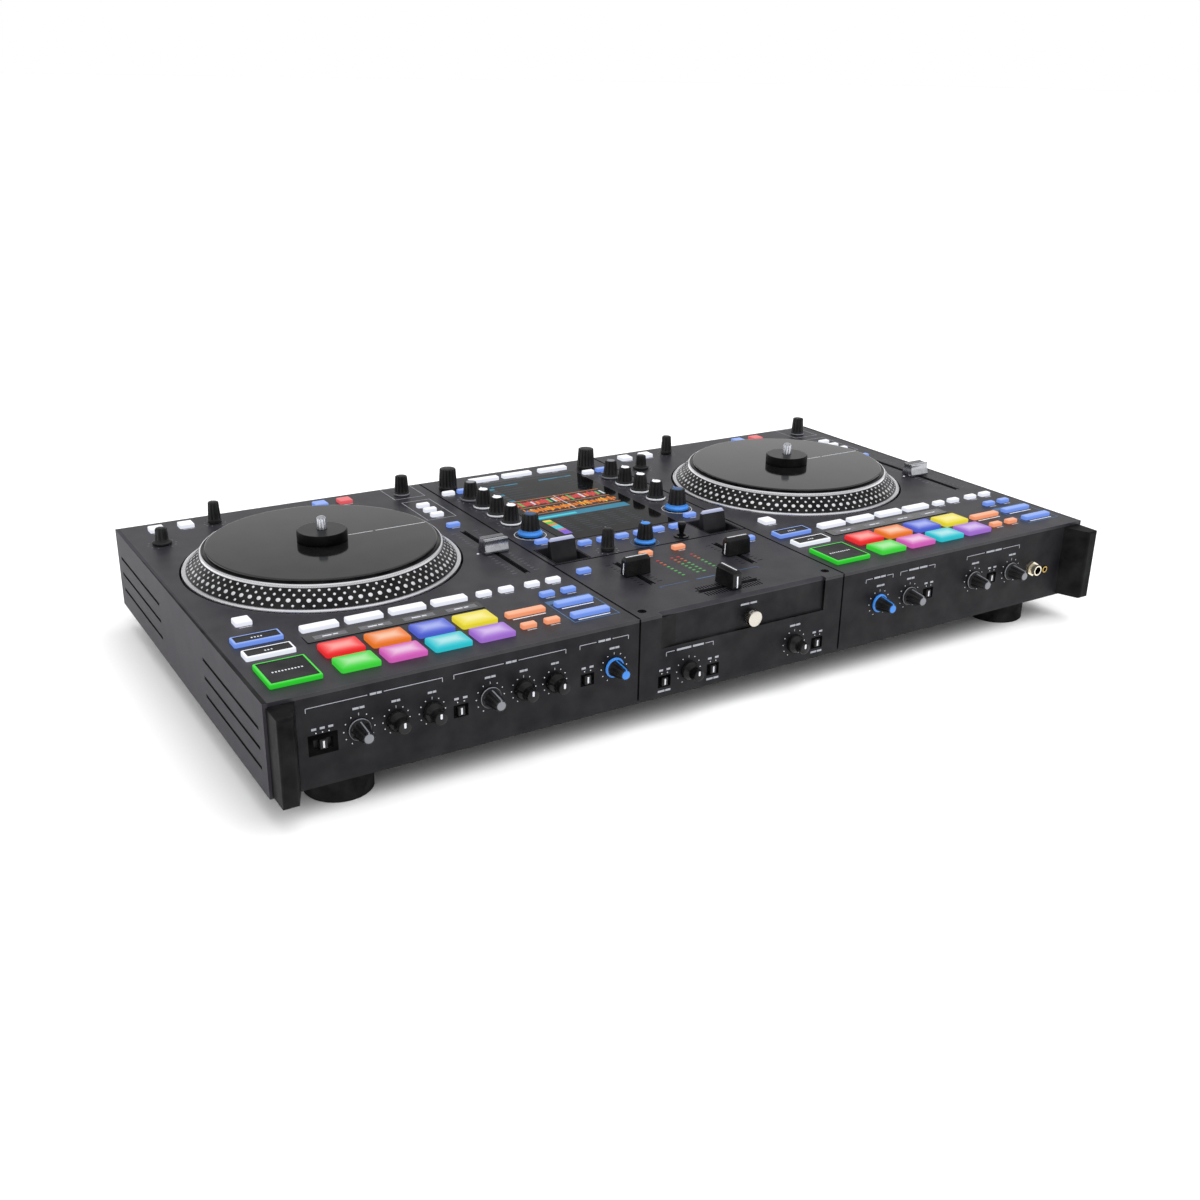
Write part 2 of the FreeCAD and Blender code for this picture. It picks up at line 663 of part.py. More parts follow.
def post_places():
    """Where the posts stand: four under each deck plate, two under the mixer plate."""
    inset_y = HALF_DEPTH - PANEL_THICKNESS - POST_RADIUS - RUN
    found = {}
    for side, sign in (("left", -1), ("right", 1)):
        inner = sign * (HALF_CENTRE + POST_INSET)
        outer = sign * (HALF_WIDTH - SIDE_THICKNESS - POST_RADIUS - RUN)
        found[side] = [(x, y) for x in (inner, outer) for y in (-inset_y, inset_y)]
    found["mixer"] = [(-HALF_CENTRE + POST_INSET, inset_y), (HALF_CENTRE - POST_INSET, inset_y)]
    return found


def deck_knob_places(deck_x):
    return [on_deck(deck_x, place) for place in (FLARED_PLACE, SLIM_PLACE, REAR_ENCODER_PLACE)]


def pitch_place(deck_x):
    return on_deck(deck_x, (PITCH_X, PITCH_Y))


def strip_block(deck_x, gap, high, corner=0.0):
    """The label strip's outline, widened by the gap, from the bottom of its recess."""
    x, y = on_deck(deck_x, STRIP_PLACE)
    return block(x, y, STRIP_SIZE[0] * DECK_SPREAD + 2 * gap, STRIP_SIZE[1] + 2 * gap,
                 TOP - STRIP_RECESS, high, corner)


def deck_plate(side):
    """One deck's top plate with its round platter well."""
    sign = -1 if side == "left" else 1
    deck_x = DECKS[side]
    x, y = platter_place(side)[:2]
    middle = sign * (HALF_CENTRE + HALF_WIDTH - SIDE_THICKNESS) / 2
    width = HALF_WIDTH - SIDE_THICKNESS - HALF_CENTRE - SEAM / 2
    plate = block(middle + sign * SEAM / 4, 0, width, CASE_DEPTH, UNDER_TOP, TOP)
    wall = rod(x, y, WELL_RADIUS + WELL_WALL, TOP - WELL_DEPTH - WELL_WALL, UNDER_TOP)
    plate = plate.fuse([wall] + [post(px, py) for px, py in post_places()[side]])
    cuts = [rod(x, y, WELL_RADIUS, TOP - WELL_DEPTH, TOP + OVER),
            rod(x, y, WELL_HOLE, FLOOR, TOP),
            slot(*pitch_place(deck_x), PITCH_SLOT)]
    cuts += [button_hole(*place) for place in deck_button_list(deck_x)]
    cuts += [button_hole(*place, PAD_ROUND) for place in pad_list(deck_x)]
    cuts += knob_holes(deck_knob_places(deck_x))
    cuts.append(strip_block(deck_x, RUN, TOP + OVER))
    return plate.cut(cuts)


def label_strip(side):
    return strip_block(DECKS[side], 0.0, TOP + STRIP_HEIGHT, BUTTON_ROUND)


def strip_knob_places():
    return [(x, y) for x in (-KNOB_COLUMN_AT, KNOB_COLUMN_AT) for y in KNOB_ROWS_AT]


def paddle_well(x):
    """Pocket under the plate that takes one paddle, before it is hollowed."""
    width, depth = PADDLE_WELL
    return block(x, PADDLE_AT[1], width + 2 * PADDLE_WELL_WALL, depth + 2 * PADDLE_WELL_WALL,
                 UNDER_TOP - PADDLE_WELL_DEPTH - PADDLE_WELL_WALL, UNDER_TOP)


def mixer_plate():
    """Rear part of the mixer's top, with the screen's window and the two paddle wells."""
    low_y = SEAM_Y + SEAM / 2
    plate = block(0, (HALF_DEPTH + low_y) / 2, CENTRE_WIDTH - SEAM, HALF_DEPTH - low_y, UNDER_TOP, TOP)
    wells = [paddle_well(x) for x in (-PADDLE_AT[0], PADDLE_AT[0])]
    x, y = TOGGLE_AT
    collar_radius, collar_height = TOGGLE_COLLAR
    collar = rod(x, y, collar_radius, TOP, TOP + collar_height)
    plate = plate.fuse(wells + [collar] + [post(px, py) for px, py in post_places()["mixer"]])
    cuts = [block(*SCREEN_AT, GLASS_WIDTH + 2 * RUN, GLASS_DEPTH + 2 * RUN,
                  UNDER_TOP - OVER, TOP + OVER)]
    reach = PADDLE_WELL[0] / 2 + PADDLE_WELL_WALL + OVER
    for well_x in (-PADDLE_AT[0], PADDLE_AT[0]):
        cuts.append(block(well_x, PADDLE_AT[1], PADDLE_WELL[0], PADDLE_WELL[1],
                          UNDER_TOP - PADDLE_WELL_DEPTH, TOP + OVER))
        cuts.append(Part.makeCylinder(PADDLE_PIN + BORE_RUN, 2 * reach,
                                      V(well_x - reach, PADDLE_AT[1], TOP - PADDLE_DROP), V(1, 0, 0)))
    cuts += [button_hole(px, py, size) for px, py, size in mixer_button_list()]
    cuts += knob_holes(strip_knob_places() + BROWSE_AT + [DEPTH_AT, SLIM_CENTRE_AT])
    cuts.append(rod(x, y, TOGGLE_ROOM, UNDER_TOP - OVER, TOP + collar_height + OVER))
    return plate.cut(cuts)


def fader_plate():
    """Front part of the mixer's top, with its front edge sloped down over the front cover."""
    depth = FADER_PLATE_LENGTH - SEAM / 2
    plate = block(0, FRONT + depth / 2, CENTRE_WIDTH - SEAM, depth, UNDER_TOP, TOP)
    cuts = [slot(x, CHANNEL_AT[1], CHANNEL_SLOT) for x in (-CHANNEL_AT[0], CHANNEL_AT[0])]
    cuts.append(slot(0, CROSS_AT, CROSS_SLOT, across=True))
    cuts += [button_hole(x, y, size) for x, y, size in fader_plate_button_list()]
    for x, y in PLATE_SCREWS_AT:
        cuts.append(rod(x, y, SCREW_HEAD + RUN, TOP - SCREW_HEAD_HEIGHT, TOP + OVER))
        cuts.append(rod(x, y, SCREW_SHANK + BORE_RUN, UNDER_TOP - OVER, TOP))
    back = FRONT + COVER_DEPTH
    slope = [(FRONT - OVER, UNDER_TOP - OVER), (back, UNDER_TOP - OVER),
             (back, TOP - SCREW_HEAD_HEIGHT), (back + COVER_LIP, TOP), (back, TOP + OVER),
             (FRONT - OVER, TOP + OVER)]
    cuts.append(along_x(slope, -COVER_SIDE, COVER_SIDE))
    return plate.cut(cuts)


def hole_through(radius):
    """Round cutter on its own Z axis, longer than any panel is thick."""
    return Part.makeCylinder(radius, 2 * PANEL_THICKNESS + OVER, V(0, 0, -2 * PANEL_THICKNESS))


def front_panel(low_x, high_x, centre=False):
    """Front wall between two seams, with holes for stems, switches and sockets."""
    middle = (low_x + high_x) / 2
    width = high_x - low_x
    wall = block(middle, FRONT + PANEL_THICKNESS / 2, width, PANEL_THICKNESS, FLOOR, UNDER_TOP)
    stem = hole_through(KNOB_STEM + RUN)
    key = upright_box(SWITCH_HOLE[0], SWITCH_HOLE[1], -2 * PANEL_THICKNESS, OVER)
    stems = FRONT_LEVELS_AT + FRONT_TONES_AT + CONTOURS_AT + [TENSION_AT]
    cuts = [on_front(stem, x, down) for x, down in stems]
    cuts += [on_front(key, x, down) for x, down in SWITCHES_AT]
    three_way = upright_box(THREE_WAY_HOLE, SWITCH_HOLE[1], -2 * PANEL_THICKNESS, OVER)
    cuts.append(on_front(three_way, *SWITCHES_AT[0]))
    cuts.append(on_front(hole_through(BIG_JACK_BARREL + RUN), *BIG_JACK_AT))
    cuts.append(on_front(hole_through(SMALL_JACK_BARREL + RUN), *SMALL_JACK_AT))
    if centre:
        back = FRONT + COVER_DEPTH
        outline = [(-COVER_SIDE, FRONT - OVER), (COVER_SIDE, FRONT - OVER), (COVER_SIDE, back),
                   (-COVER_SIDE + COVER_RAMP, back), (-COVER_SIDE, FRONT)]
        cuts.append(upright_outline(outline, TOP - COVER_BOTTOM, TOP + OVER))
    return wall.cut(cuts)


def side_panel(sign):
    """Side wall with two groups of long grooves."""
    outer = sign * HALF_WIDTH
    panel = block(outer - sign * SIDE_THICKNESS / 2, 0, SIDE_THICKNESS, CASE_DEPTH, FOOT_HEIGHT, TOP)
    length = GROOVE_LENGTH * DEPTH_SPREAD
    start = GROOVE_START * DEPTH_SPREAD
    cuts = []
    for end in (-1, 1):
        for row in range(GROOVE_ROWS):
            y = end * (start + length / 2)
            z = TOP - GROOVE_TOP - row * GROOVE_PITCH
            cuts.append(block(outer, y, 2 * GROOVE_DEPTH, length,
                              z - GROOVE_WIDTH / 2, z + GROOVE_WIDTH / 2))
    return panel.cut(cuts)


def grip(sign):
    """Corner bumper ahead of the front panel, with its front edges rounded."""
    outer = sign * (HALF_WIDTH - GRIP_INSET)
    nose = FRONT - GRIP_REACH
    outline = [(sign * (HALF_WIDTH - GRIP_INNER), FRONT), (outer - sign * GRIP_FACE, nose),
               (outer, nose), (outer, FRONT)]
    shape = upright_outline(outline, FOOT_HEIGHT + GRIP_LOW_GAP, TOP - GRIP_TOP_DROP)
    front_edges = [e for e in shape.Edges if e.BoundBox.YMax < nose + BORE_RUN]
    return shape.makeFillet(GRIP_ROUND, front_edges)


# Sockets
def ring(outer, inner, low, high):
    """Tube on its own Z axis."""
    body = Part.makeCylinder(outer, high - low, V(0, 0, low))
    return body.cut(Part.makeCylinder(inner, high - low + 2 * OVER, V(0, 0, low - OVER)))


def barrel(radius, bore, depth, reach, end):
    """Socket barrel on its own Z axis, open to the outside and closed at its inner end."""
    body = Part.makeCylinder(radius, depth + end + reach, V(0, 0, -depth - end))
    return body.cut(Part.makeCylinder(bore, depth + reach + OVER, V(0, 0, -depth)))


def big_jack():
    """Long phones socket with a hexagon nut against the panel."""
    corner = BIG_JACK_NUT / 2 / math.cos(math.pi / 6)
    points = [math.pi * (i + 0.5) / 3 for i in range(6)]
    nut = upright_outline([(corner * math.cos(a), corner * math.sin(a)) for a in points],
                          0, BIG_JACK_NUT_THICKNESS)
    nut = nut.cut(Part.makeCylinder(BIG_JACK_BARREL - EDGE, BIG_JACK_NUT_THICKNESS))
    tube = barrel(BIG_JACK_BARREL, BIG_JACK_BORE, BIG_JACK_DEPTH, BIG_JACK_REACH, JACK_END)
    return nut.fuse(tube).removeSplitter()


def small_jack():
    """Small phones socket, with a shoulder behind the panel."""
    tube = barrel(SMALL_JACK_BARREL, SMALL_JACK_BORE, SMALL_JACK_DEPTH, SMALL_JACK_REACH, JACK_END)
    shoulder = ring(SMALL_JACK_BARREL + SOCKET_WALL, SMALL_JACK_BORE,
                    -SMALL_JACK_DEPTH, -PANEL_THICKNESS)
    return tube.fuse(shoulder).removeSplitter()


def flanged(radius, bore, depth, reach, flange):
    """Round socket with a flange against the outside of the panel."""
    tube = barrel(radius, bore, depth, reach, JACK_END)
    return tube.fuse(ring(flange[0], bore, 0, flange[1])).removeSplitter()


def xlr_socket():
    width, height, thickness = XLR_FLANGE
    flange = block(0, 0, width, height, 0, thickness, thickness)
    flange = flange.cut(Part.makeCylinder(XLR_BORE, thickness))
    tube = barrel(XLR_BORE + SOCKET_WALL, XLR_BORE, XLR_DEPTH, thickness, JACK_END)
    return flange.fuse(tube).removeSplitter()


def outside(cavity):
    """Width and height of a square socket's body around its cavity."""
    return cavity[0] + 2 * SOCKET_WALL, cavity[1] + 2 * SOCKET_WALL


def box_socket(cavity, depth, lip_thickness):
    """Square socket on its own Z axis, open to the outside."""
    width, height = outside(cavity)
    body = block(0, 0, width, height, -depth - JACK_END, 0.0)
    lip = block(0, 0, width + 2 * LIP_BORDER, height + 2 * LIP_BORDER, 0.0, lip_thickness)
    return body.fuse(lip).cut(block(0, 0, cavity[0], cavity[1], -depth, lip_thickness + OVER))


def phono_places():
    return [(x, SOCKET_DROP + way * PHONO_SPREAD) for x in PHONO_AT for way in (-1, 1)]


def rear_sockets():
    """Every socket of the rear wall, and the ground post."""
    xlr = xlr_socket()
    trs = flanged(TRS_BARREL, BIG_JACK_BORE, TRS_DEPTH, TRS_NUT[1], TRS_NUT)
    phono = flanged(PHONO_RADIUS, PHONO_BORE, PHONO_DEPTH, REAR_REACH, PHONO_FLANGE)
    found = [on_rear(box_socket(INLET_CAVITY, INLET_DEPTH, INLET_LIP), INLET_AT, SOCKET_DROP)]
    found += [on_rear(xlr, x, SOCKET_DROP) for x in XLR_AT]
    found += [on_rear(trs, x, SOCKET_DROP) for x in TRS_AT]
    found += [on_rear(phono, x, down) for x, down in phono_places()]
    found += [on_rear(box_socket(USB_B_CAVITY, USB_DEPTH, USB_LIP), x, SOCKET_DROP) for x in USB_B_AT]
    found += [on_rear(box_socket(USB_A_CAVITY, USB_DEPTH, USB_LIP), x, SOCKET_DROP) for x in USB_A_AT]
    stem_low = -2 * PANEL_THICKNESS
    ground = turned([(0, stem_low), (GROUND_STEM, stem_low), (GROUND_STEM, 0), (GROUND_RADIUS, 0),
                     (GROUND_RADIUS, GROUND_REACH - EDGE), (GROUND_RADIUS - EDGE, GROUND_REACH),
                     (0, GROUND_REACH)])
    return found + [on_rear(ground, GROUND_AT, SOCKET_DROP)]


def rear_wall():
    """Rear wall of the lower case with its socket holes."""
    width = WIDTH - 2 * SIDE_THICKNESS
    wall = block(0, HALF_DEPTH - PANEL_THICKNESS / 2, width, PANEL_THICKNESS, FLOOR, UNDER_TOP)

    def square_hole(cavity):
        hole_width, height = outside(cavity)
        return upright_box(hole_width + 2 * SOCKET_RUN, height + 2 * SOCKET_RUN,
                           -2 * PANEL_THICKNESS, OVER)

    cuts = [on_rear(square_hole(INLET_CAVITY), INLET_AT, SOCKET_DROP)]
    xlr_hole = hole_through(XLR_BORE + SOCKET_WALL + SOCKET_RUN)
    cuts += [on_rear(xlr_hole, x, SOCKET_DROP) for x in XLR_AT]
    cuts += [on_rear(hole_through(TRS_BARREL + SOCKET_RUN), x, SOCKET_DROP) for x in TRS_AT]
    cuts += [on_rear(hole_through(PHONO_RADIUS + SOCKET_RUN), x, down) for x, down in phono_places()]
    cuts += [on_rear(square_hole(USB_B_CAVITY), x, SOCKET_DROP) for x in USB_B_AT]
    cuts += [on_rear(square_hole(USB_A_CAVITY), x, SOCKET_DROP) for x in USB_A_AT]
    cuts.append(on_rear(hole_through(GROUND_STEM + SOCKET_RUN), GROUND_AT, SOCKET_DROP))
    key = upright_box(SWITCH_HOLE[0], SWITCH_HOLE[1], -2 * PANEL_THICKNESS, OVER)
    cuts.append(on_rear(key, POWER_AT, SOCKET_DROP))
    return wall.cut(cuts)


# Slide switches
def upright_box(width, height, low, high):
    """Box on its own Z axis, standing square on the wall."""
    return Part.makeBox(width, height, high - low, V(-width / 2, -height / 2, low))


def switch_key():
    """Sliding key on its own Z axis, with a wider foot behind the panel."""
    behind = -PANEL_THICKNESS - RUN
    key = upright_box(SWITCH_KEY[0], SWITCH_KEY[1], behind, SWITCH_REACH)
    foot = upright_box(SWITCH_FOOT[0], SWITCH_FOOT[1], behind - SWITCH_FOOT_THICKNESS, behind)
    return key.fuse(foot).removeSplitter()


def switch_body():
    """Fixed switch body behind the panel, hollow where the foot slides."""
    room_width = SWITCH_FOOT[0] + 2 * SWITCH_TRAVEL + 2 * RUN
    room_height = SWITCH_FOOT[1] + 2 * RUN
    back = -PANEL_THICKNESS - SEAT - POT_DEPTH
    body = upright_box(room_width + 2 * SWITCH_WALL, room_height + 2 * SWITCH_WALL,
                       back, -PANEL_THICKNESS)
    room_back = -PANEL_THICKNESS - 2 * RUN - SWITCH_FOOT_THICKNESS
    return body.cut(upright_box(room_width, room_height, room_back, 0))


# Moving parts of the decks
def platter_place(side):
    return on_deck(DECKS[side], (PLATTER_X, PLATTER_Y)) + (TOP,)


def platter(side):
    """Cast platter with two rings and a sloped band, and its steel spindle."""
    web_low = CROWN_TOP - WEB_THICKNESS
    casting = turned([(SPINDLE_RADIUS, -HUB_DROP), (HUB_RADIUS, -HUB_DROP), (HUB_RADIUS, web_low),
                      (CROWN_RIM - WEB_THICKNESS, web_low), (PLATTER_RIM - RIM_WALL, -RIM_DROP),
                      (PLATTER_RIM - EDGE, -RIM_DROP), (PLATTER_RIM, RING_TOP - 2 * EDGE),
                      (PLATTER_RIM - EDGE, RING_TOP),
                      (PLATTER_RIM - RING_WIDTH, RING_TOP + EDGE / 2), (BAND_RIM, BAND_TOP),
                      (BAND_RIM - EDGE, CROWN_TOP - EDGE), (CROWN_RIM, CROWN_TOP),
                      (SPINDLE_RADIUS, CROWN_TOP)])
    foot = SPINDLE_TOP - SPINDLE_LENGTH
    spindle = turned([(0, foot), (SPINDLE_RADIUS, foot), (SPINDLE_RADIUS, SPINDLE_TOP - SPINDLE_NOSE),
                      (SPINDLE_RADIUS - SPINDLE_NOSE, SPINDLE_TOP), (0, SPINDLE_TOP)])
    place = platter_place(side)
    return [moved(casting, *place), moved(spindle, *place)]


def disc(side):
    """Felt mat and the control disc that lies on it."""
    middle = CROWN_TOP + MAT_THICKNESS
    bore = SPINDLE_RADIUS + RUN / 2
    mat = ring(MAT_RIM, bore, CROWN_TOP, middle)
    record = ring(DISC_RIM, bore, middle, middle + DISC_THICKNESS)
    place = platter_place(side)
    return [moved(mat, *place), moved(record, *place)]


def adapter(side):
    """Round puck that drops over the spindle onto the disc."""
    low = CROWN_TOP + MAT_THICKNESS + DISC_THICKNESS
    high = low + ADAPTER_HEIGHT
    bore = SPINDLE_RADIUS + RUN / 2
    puck = turned([(bore, low), (ADAPTER_RADIUS - EDGE, low), (ADAPTER_RADIUS, low + EDGE),
                   (ADAPTER_RADIUS, high - EDGE), (ADAPTER_RADIUS - EDGE, high), (bore + EDGE, high),
                   (bore, high - EDGE)])
    return moved(puck, *platter_place(side))


def motor(side):
    """Motor on the bottom plate, with the bearing sleeve that the spindle runs in."""
    x, y, top = platter_place(side)
    sleeve_top = top - HUB_DROP - SEAT
    shoulder = FLOOR + MOTOR_HEIGHT - MOTOR_SHOULDER
    body = turned([(0, FLOOR), (MOTOR_RADIUS, FLOOR), (MOTOR_RADIUS, shoulder),
                   (MOTOR_RADIUS - MOTOR_SHOULDER, FLOOR + MOTOR_HEIGHT),
                   (SLEEVE_RADIUS, FLOOR + MOTOR_HEIGHT), (SLEEVE_RADIUS, sleeve_top), (0, sleeve_top)])
    low = top + SPINDLE_TOP - SPINDLE_LENGTH - EDGE
    bore = rod(0, 0, SPINDLE_RADIUS + BORE_RUN, low, sleeve_top + OVER)
    return moved(body.cut(bore), x, y)


# Mixer levers
def paddle(x):
    """Rocking wedge on a cross pin: a front face that leans back, and a bevel round its top."""
    width, depth = PADDLE_SIZE
    crest_width, crest_depth = PADDLE_CREST
    low = -PADDLE_DROP - PADDLE_HEEL
    end = width / 2
    side = depth / 2
    crest_front = -side + PADDLE_FRONT_LEAN + PADDLE_BEVEL
    ends = [(-end, low), (end, low), (end, PADDLE_SHOULDER), (crest_width / 2, PADDLE_HEIGHT),
            (-crest_width / 2, PADDLE_HEIGHT), (-end, PADDLE_SHOULDER)]
    flanks = [(-side, low), (side, low), (side, -PADDLE_KNEE),
              (side - PADDLE_BACK_LEAN, PADDLE_SHOULDER), (crest_front + crest_depth, PADDLE_HEIGHT),
              (crest_front, PADDLE_HEIGHT), (-side + PADDLE_FRONT_LEAN, PADDLE_SHOULDER),
              (-side, -PADDLE_KNEE)]
    wedge = along_x(flanks, -end, end).common(along_y(ends, -side, side))
    upright = [edge for edge in wedge.Edges if edge.Length > PADDLE_HEEL
               and edge.BoundBox.ZLength > edge.Length * 0.9]
    wedge = wedge.makeFillet(PADDLE_ROUND, upright)
    reach = PADDLE_WELL[0] / 2 + PADDLE_WELL_WALL
    pin = Part.makeCylinder(PADDLE_PIN, 2 * reach, V(-reach, 0, -PADDLE_DROP), V(1, 0, 0))
    return moved(wedge.fuse(pin).removeSplitter(), x, PADDLE_AT[1], TOP)


def toggle_lever():
    """Slim lever on a ball, flared at its finger end."""
    ball = UNDER_TOP - TOGGLE_BALL_DROP
    high = TOP + TOGGLE_HEIGHT
    neck = TOP + TOGGLE_HEIGHT * 0.3
    flare = TOP + TOGGLE_HEIGHT * 0.7
    stick = turned([(0, ball), (TOGGLE_STICK, ball), (TOGGLE_STICK, neck),
                    (TOGGLE_TIP - EDGE / 2, flare), (TOGGLE_TIP, high - EDGE),
                    (TOGGLE_TIP - EDGE, high), (0, high)])
    lever = stick.fuse(Part.makeSphere(TOGGLE_BALL, V(0, 0, ball)))
    return moved(lever, TOGGLE_AT[0], TOGGLE_AT[1])


def toggle_socket():
    """Body under the plate that holds the toggle's ball."""
    x, y = TOGGLE_AT
    body = block(x, y, POT_SIZE, POT_SIZE, BOARD_TOP, UNDER_TOP)
    low = UNDER_TOP - TOGGLE_BALL_DROP - TOGGLE_BALL - RUN
    return body.cut(rod(x, y, TOGGLE_BALL + RUN, low, UNDER_TOP + OVER))


# Boards
def pot(x, y):
    return block(x, y, POT_SIZE, POT_SIZE, BOARD_TOP, POT_TOP)


def standoff(x, y):
    return rod(x, y, STANDOFF_RADIUS, BOARD_TOP, UNDER_TOP)


def board(low_x, high_x, low_y, high_y, top=BOARD_TOP):
    return block((low_x + high_x) / 2, (low_y + high_y) / 2, high_x - low_x, high_y - low_y,
                 top - BOARD_THICKNESS, top)


def board_around(places):
    """Board that reaches past the outermost of the places by the margin."""
    xs = [x for x, y in places]
    ys = [y for x, y in places]
    return board(min(xs) - BOARD_MARGIN, max(xs) + BOARD_MARGIN,
                 min(ys) - BOARD_MARGIN, max(ys) + BOARD_MARGIN)


def well_room(side):
    """Cutter that keeps a deck's boards clear of the platter well."""
    x, y, top = platter_place(side)
    return rod(x, y, WELL_RADIUS + WELL_WALL + SEAT, FLOOR, top)


def deck_boards(side):
    """Rear and side boards of one deck, clear of the platter well, and the fader's track."""
    x = DECKS[side]
    flared, slim, encoder = deck_knob_places(x)
    column = [on_deck(x, place) for place in SMALL_PLACES if place[1] > 0]
    boards = [board_around([flared, slim]), board_around([encoder] + column)]
    found = [shape.cut(well_room(side)) for shape in boards]
    found.append(standoff(slim[0] - POT_SIZE / 2 - 2 * STANDOFF_RADIUS, slim[1]))
    found.append(standoff(encoder[0], (encoder[1] + column[0][1]) / 2))
    found += [pot(px, py) for px, py in (flared, slim, encoder)]
    found.append(track(*pitch_place(x), PITCH_SLOT))
    return found


def mixer_boards():
    """Boards under the mixer and fader plates, with their pots and tracks."""
    places = strip_knob_places() + BROWSE_AT + [DEPTH_AT, SLIM_CENTRE_AT]
    screen_side = GLASS_WIDTH / 2 + CAN_BORDER + SEAT
    found = []
    for sign in (-1, 1):
        column = [(x, y) for x, y in places if x * sign > KNOB_COLUMN_AT / 2 and y > 0]
        strip = board_around(column)
        found.append(strip.cut(block(*SCREEN_AT, 2 * screen_side, CASE_DEPTH, FLOOR, TOP)))
        for i in (0, 3):
            found.append(standoff(sign * KNOB_COLUMN_AT, (KNOB_ROWS_AT[i] + KNOB_ROWS_AT[i + 1]) / 2))
    found.append(board_around([DEPTH_AT, SLIM_CENTRE_AT, TOGGLE_AT]))
    found += [standoff((DEPTH_AT[0] + x) / 2, DEPTH_AT[1])
              for x in (SLIM_CENTRE_AT[0], TOGGLE_AT[0])]
    found += [pot(x, y) for x, y in places]
    found.append(toggle_socket())
    found += [track(x, CHANNEL_AT[1], CHANNEL_SLOT) for x in (-CHANNEL_AT[0], CHANNEL_AT[0])]
    found.append(track(0, CROSS_AT, CROSS_SLOT, across=True))
    reach_x = CHANNEL_AT[0] + TRACK_WIDTH
    found.append(board(-reach_x, reach_x, CROSS_AT - TRACK_WIDTH / 2, CHANNEL_AT[1] + CHANNEL_SLOT / 2,
                       UNDER_TOP - TRACK_DEPTH))
    return found


def front_boards():
    """Upright boards behind the front panels, with their pots and switch bodies."""
    behind = -PANEL_THICKNESS - SEAT
    pots = FRONT_LEVELS_AT + FRONT_TONES_AT + CONTOURS_AT
    places = pots + SWITCHES_AT
    pot_box = upright_box(POT_SIZE, POT_SIZE, behind - POT_DEPTH, behind)
    found = [on_front(pot_box, x, down) for x, down in pots]
    found += [on_front(switch_body(), x, down) for x, down in SWITCHES_AT]
    found.append(on_rear(switch_body(), POWER_AT, SOCKET_DROP))
    face_y = INNER_FRONT + SEAT + POT_DEPTH
    groups = [[x for x, down in places if x < -HALF_CENTRE],
              [x for x, down in places if abs(x) < HALF_CENTRE],
              [x for x, down in places if x > HALF_CENTRE]]
    lowest = max(down for x, down in places)
    for xs in groups:
        low_x = min(xs) - BOARD_MARGIN
        high_x = max(xs) + BOARD_MARGIN
        found.append(block((low_x + high_x) / 2, face_y + BOARD_THICKNESS / 2, high_x - low_x,
                           BOARD_THICKNESS, TOP - lowest - FRONT_BOARD_EDGE,
                           TOP - COVER_BOTTOM + FRONT_BOARD_EDGE))
    found.append(on_front(upright_box(POT_SIZE, POT_SIZE, behind - BRACKET_DEPTH, behind),
                          *TENSION_AT))
    return found


def tension_knob():
    """Plain turned metal knob that stands in the recess, with its stem through the panel."""
    wall = PANEL_THICKNESS - COVER_DEPTH
    neck = TENSION_RADIUS - TENSION_NECK
    high = TENSION_REACH + COVER_DEPTH
    body = turned([(0, -wall), (KNOB_STEM, -wall), (KNOB_STEM, SEAT), (neck, SEAT),
                   (neck, COVER_DEPTH), (TENSION_RADIUS, COVER_DEPTH + EDGE),
                   (TENSION_RADIUS, high - EDGE), (TENSION_RADIUS - EDGE, high), (0, high)])
    notch = upright_box(NOTCH_WIDTH, 2 * TENSION_RADIUS + OVER, high - 2 * NOTCH_DEPTH, high + OVER)
    return on_front(body.cut(notch), TENSION_AT[0], TENSION_AT[1], FRONT + COVER_DEPTH)


def inner_works():
    """Main board on four standoffs, and the power supply, both on the bottom plate."""
    width, depth = MAIN_BOARD
    board_y = MAIN_BOARD_Y * DEPTH_SPREAD
    supply_y = SUPPLY_Y * DEPTH_SPREAD
    low = FLOOR + MAIN_BOARD_LIFT
    main_board = block(0, board_y, width, depth, low, low + BOARD_THICKNESS)
    corner_x = width / 2 - BOARD_MARGIN
    corner_y = depth / 2 - BOARD_MARGIN
    legs = [rod(x, y, STANDOFF_RADIUS, FLOOR, low) for x in (-corner_x, corner_x)
            for y in (board_y - corner_y, board_y + corner_y)]
    supply = block(0, supply_y, SUPPLY[0], SUPPLY[1], FLOOR, FLOOR + SUPPLY[2], SUPPLY_ROUND)
    return [main_board, supply] + legs


def screen():
    """Glass over a display can that hangs from the plate by its flange."""
    high = TOP + SEAT
    under_glass = high - GLASS_THICKNESS
    glass = block(*SCREEN_AT, GLASS_WIDTH, GLASS_DEPTH, under_glass, high, PAD_ROUND)
    can = block(*SCREEN_AT, GLASS_WIDTH - 2 * EDGE, GLASS_DEPTH - 2 * EDGE,
                UNDER_TOP - CAN_DEPTH, under_glass)
    flange = block(*SCREEN_AT, GLASS_WIDTH + 2 * CAN_BORDER,
                   GLASS_DEPTH + 2 * CAN_BORDER, UNDER_TOP - CAN_LIP, UNDER_TOP)
    return [glass, can.fuse(flange).removeSplitter()]


# Fasteners
def bottom_screw(x, y):
    head = rod(x, y, SCREW_HEAD, FOOT_HEIGHT - SCREW_HEAD_HEIGHT, FOOT_HEIGHT)
    return head.fuse(rod(x, y, SCREW_SHANK, FOOT_HEIGHT, FLOOR + SCREW_LENGTH - SCREW_END_ROOM))


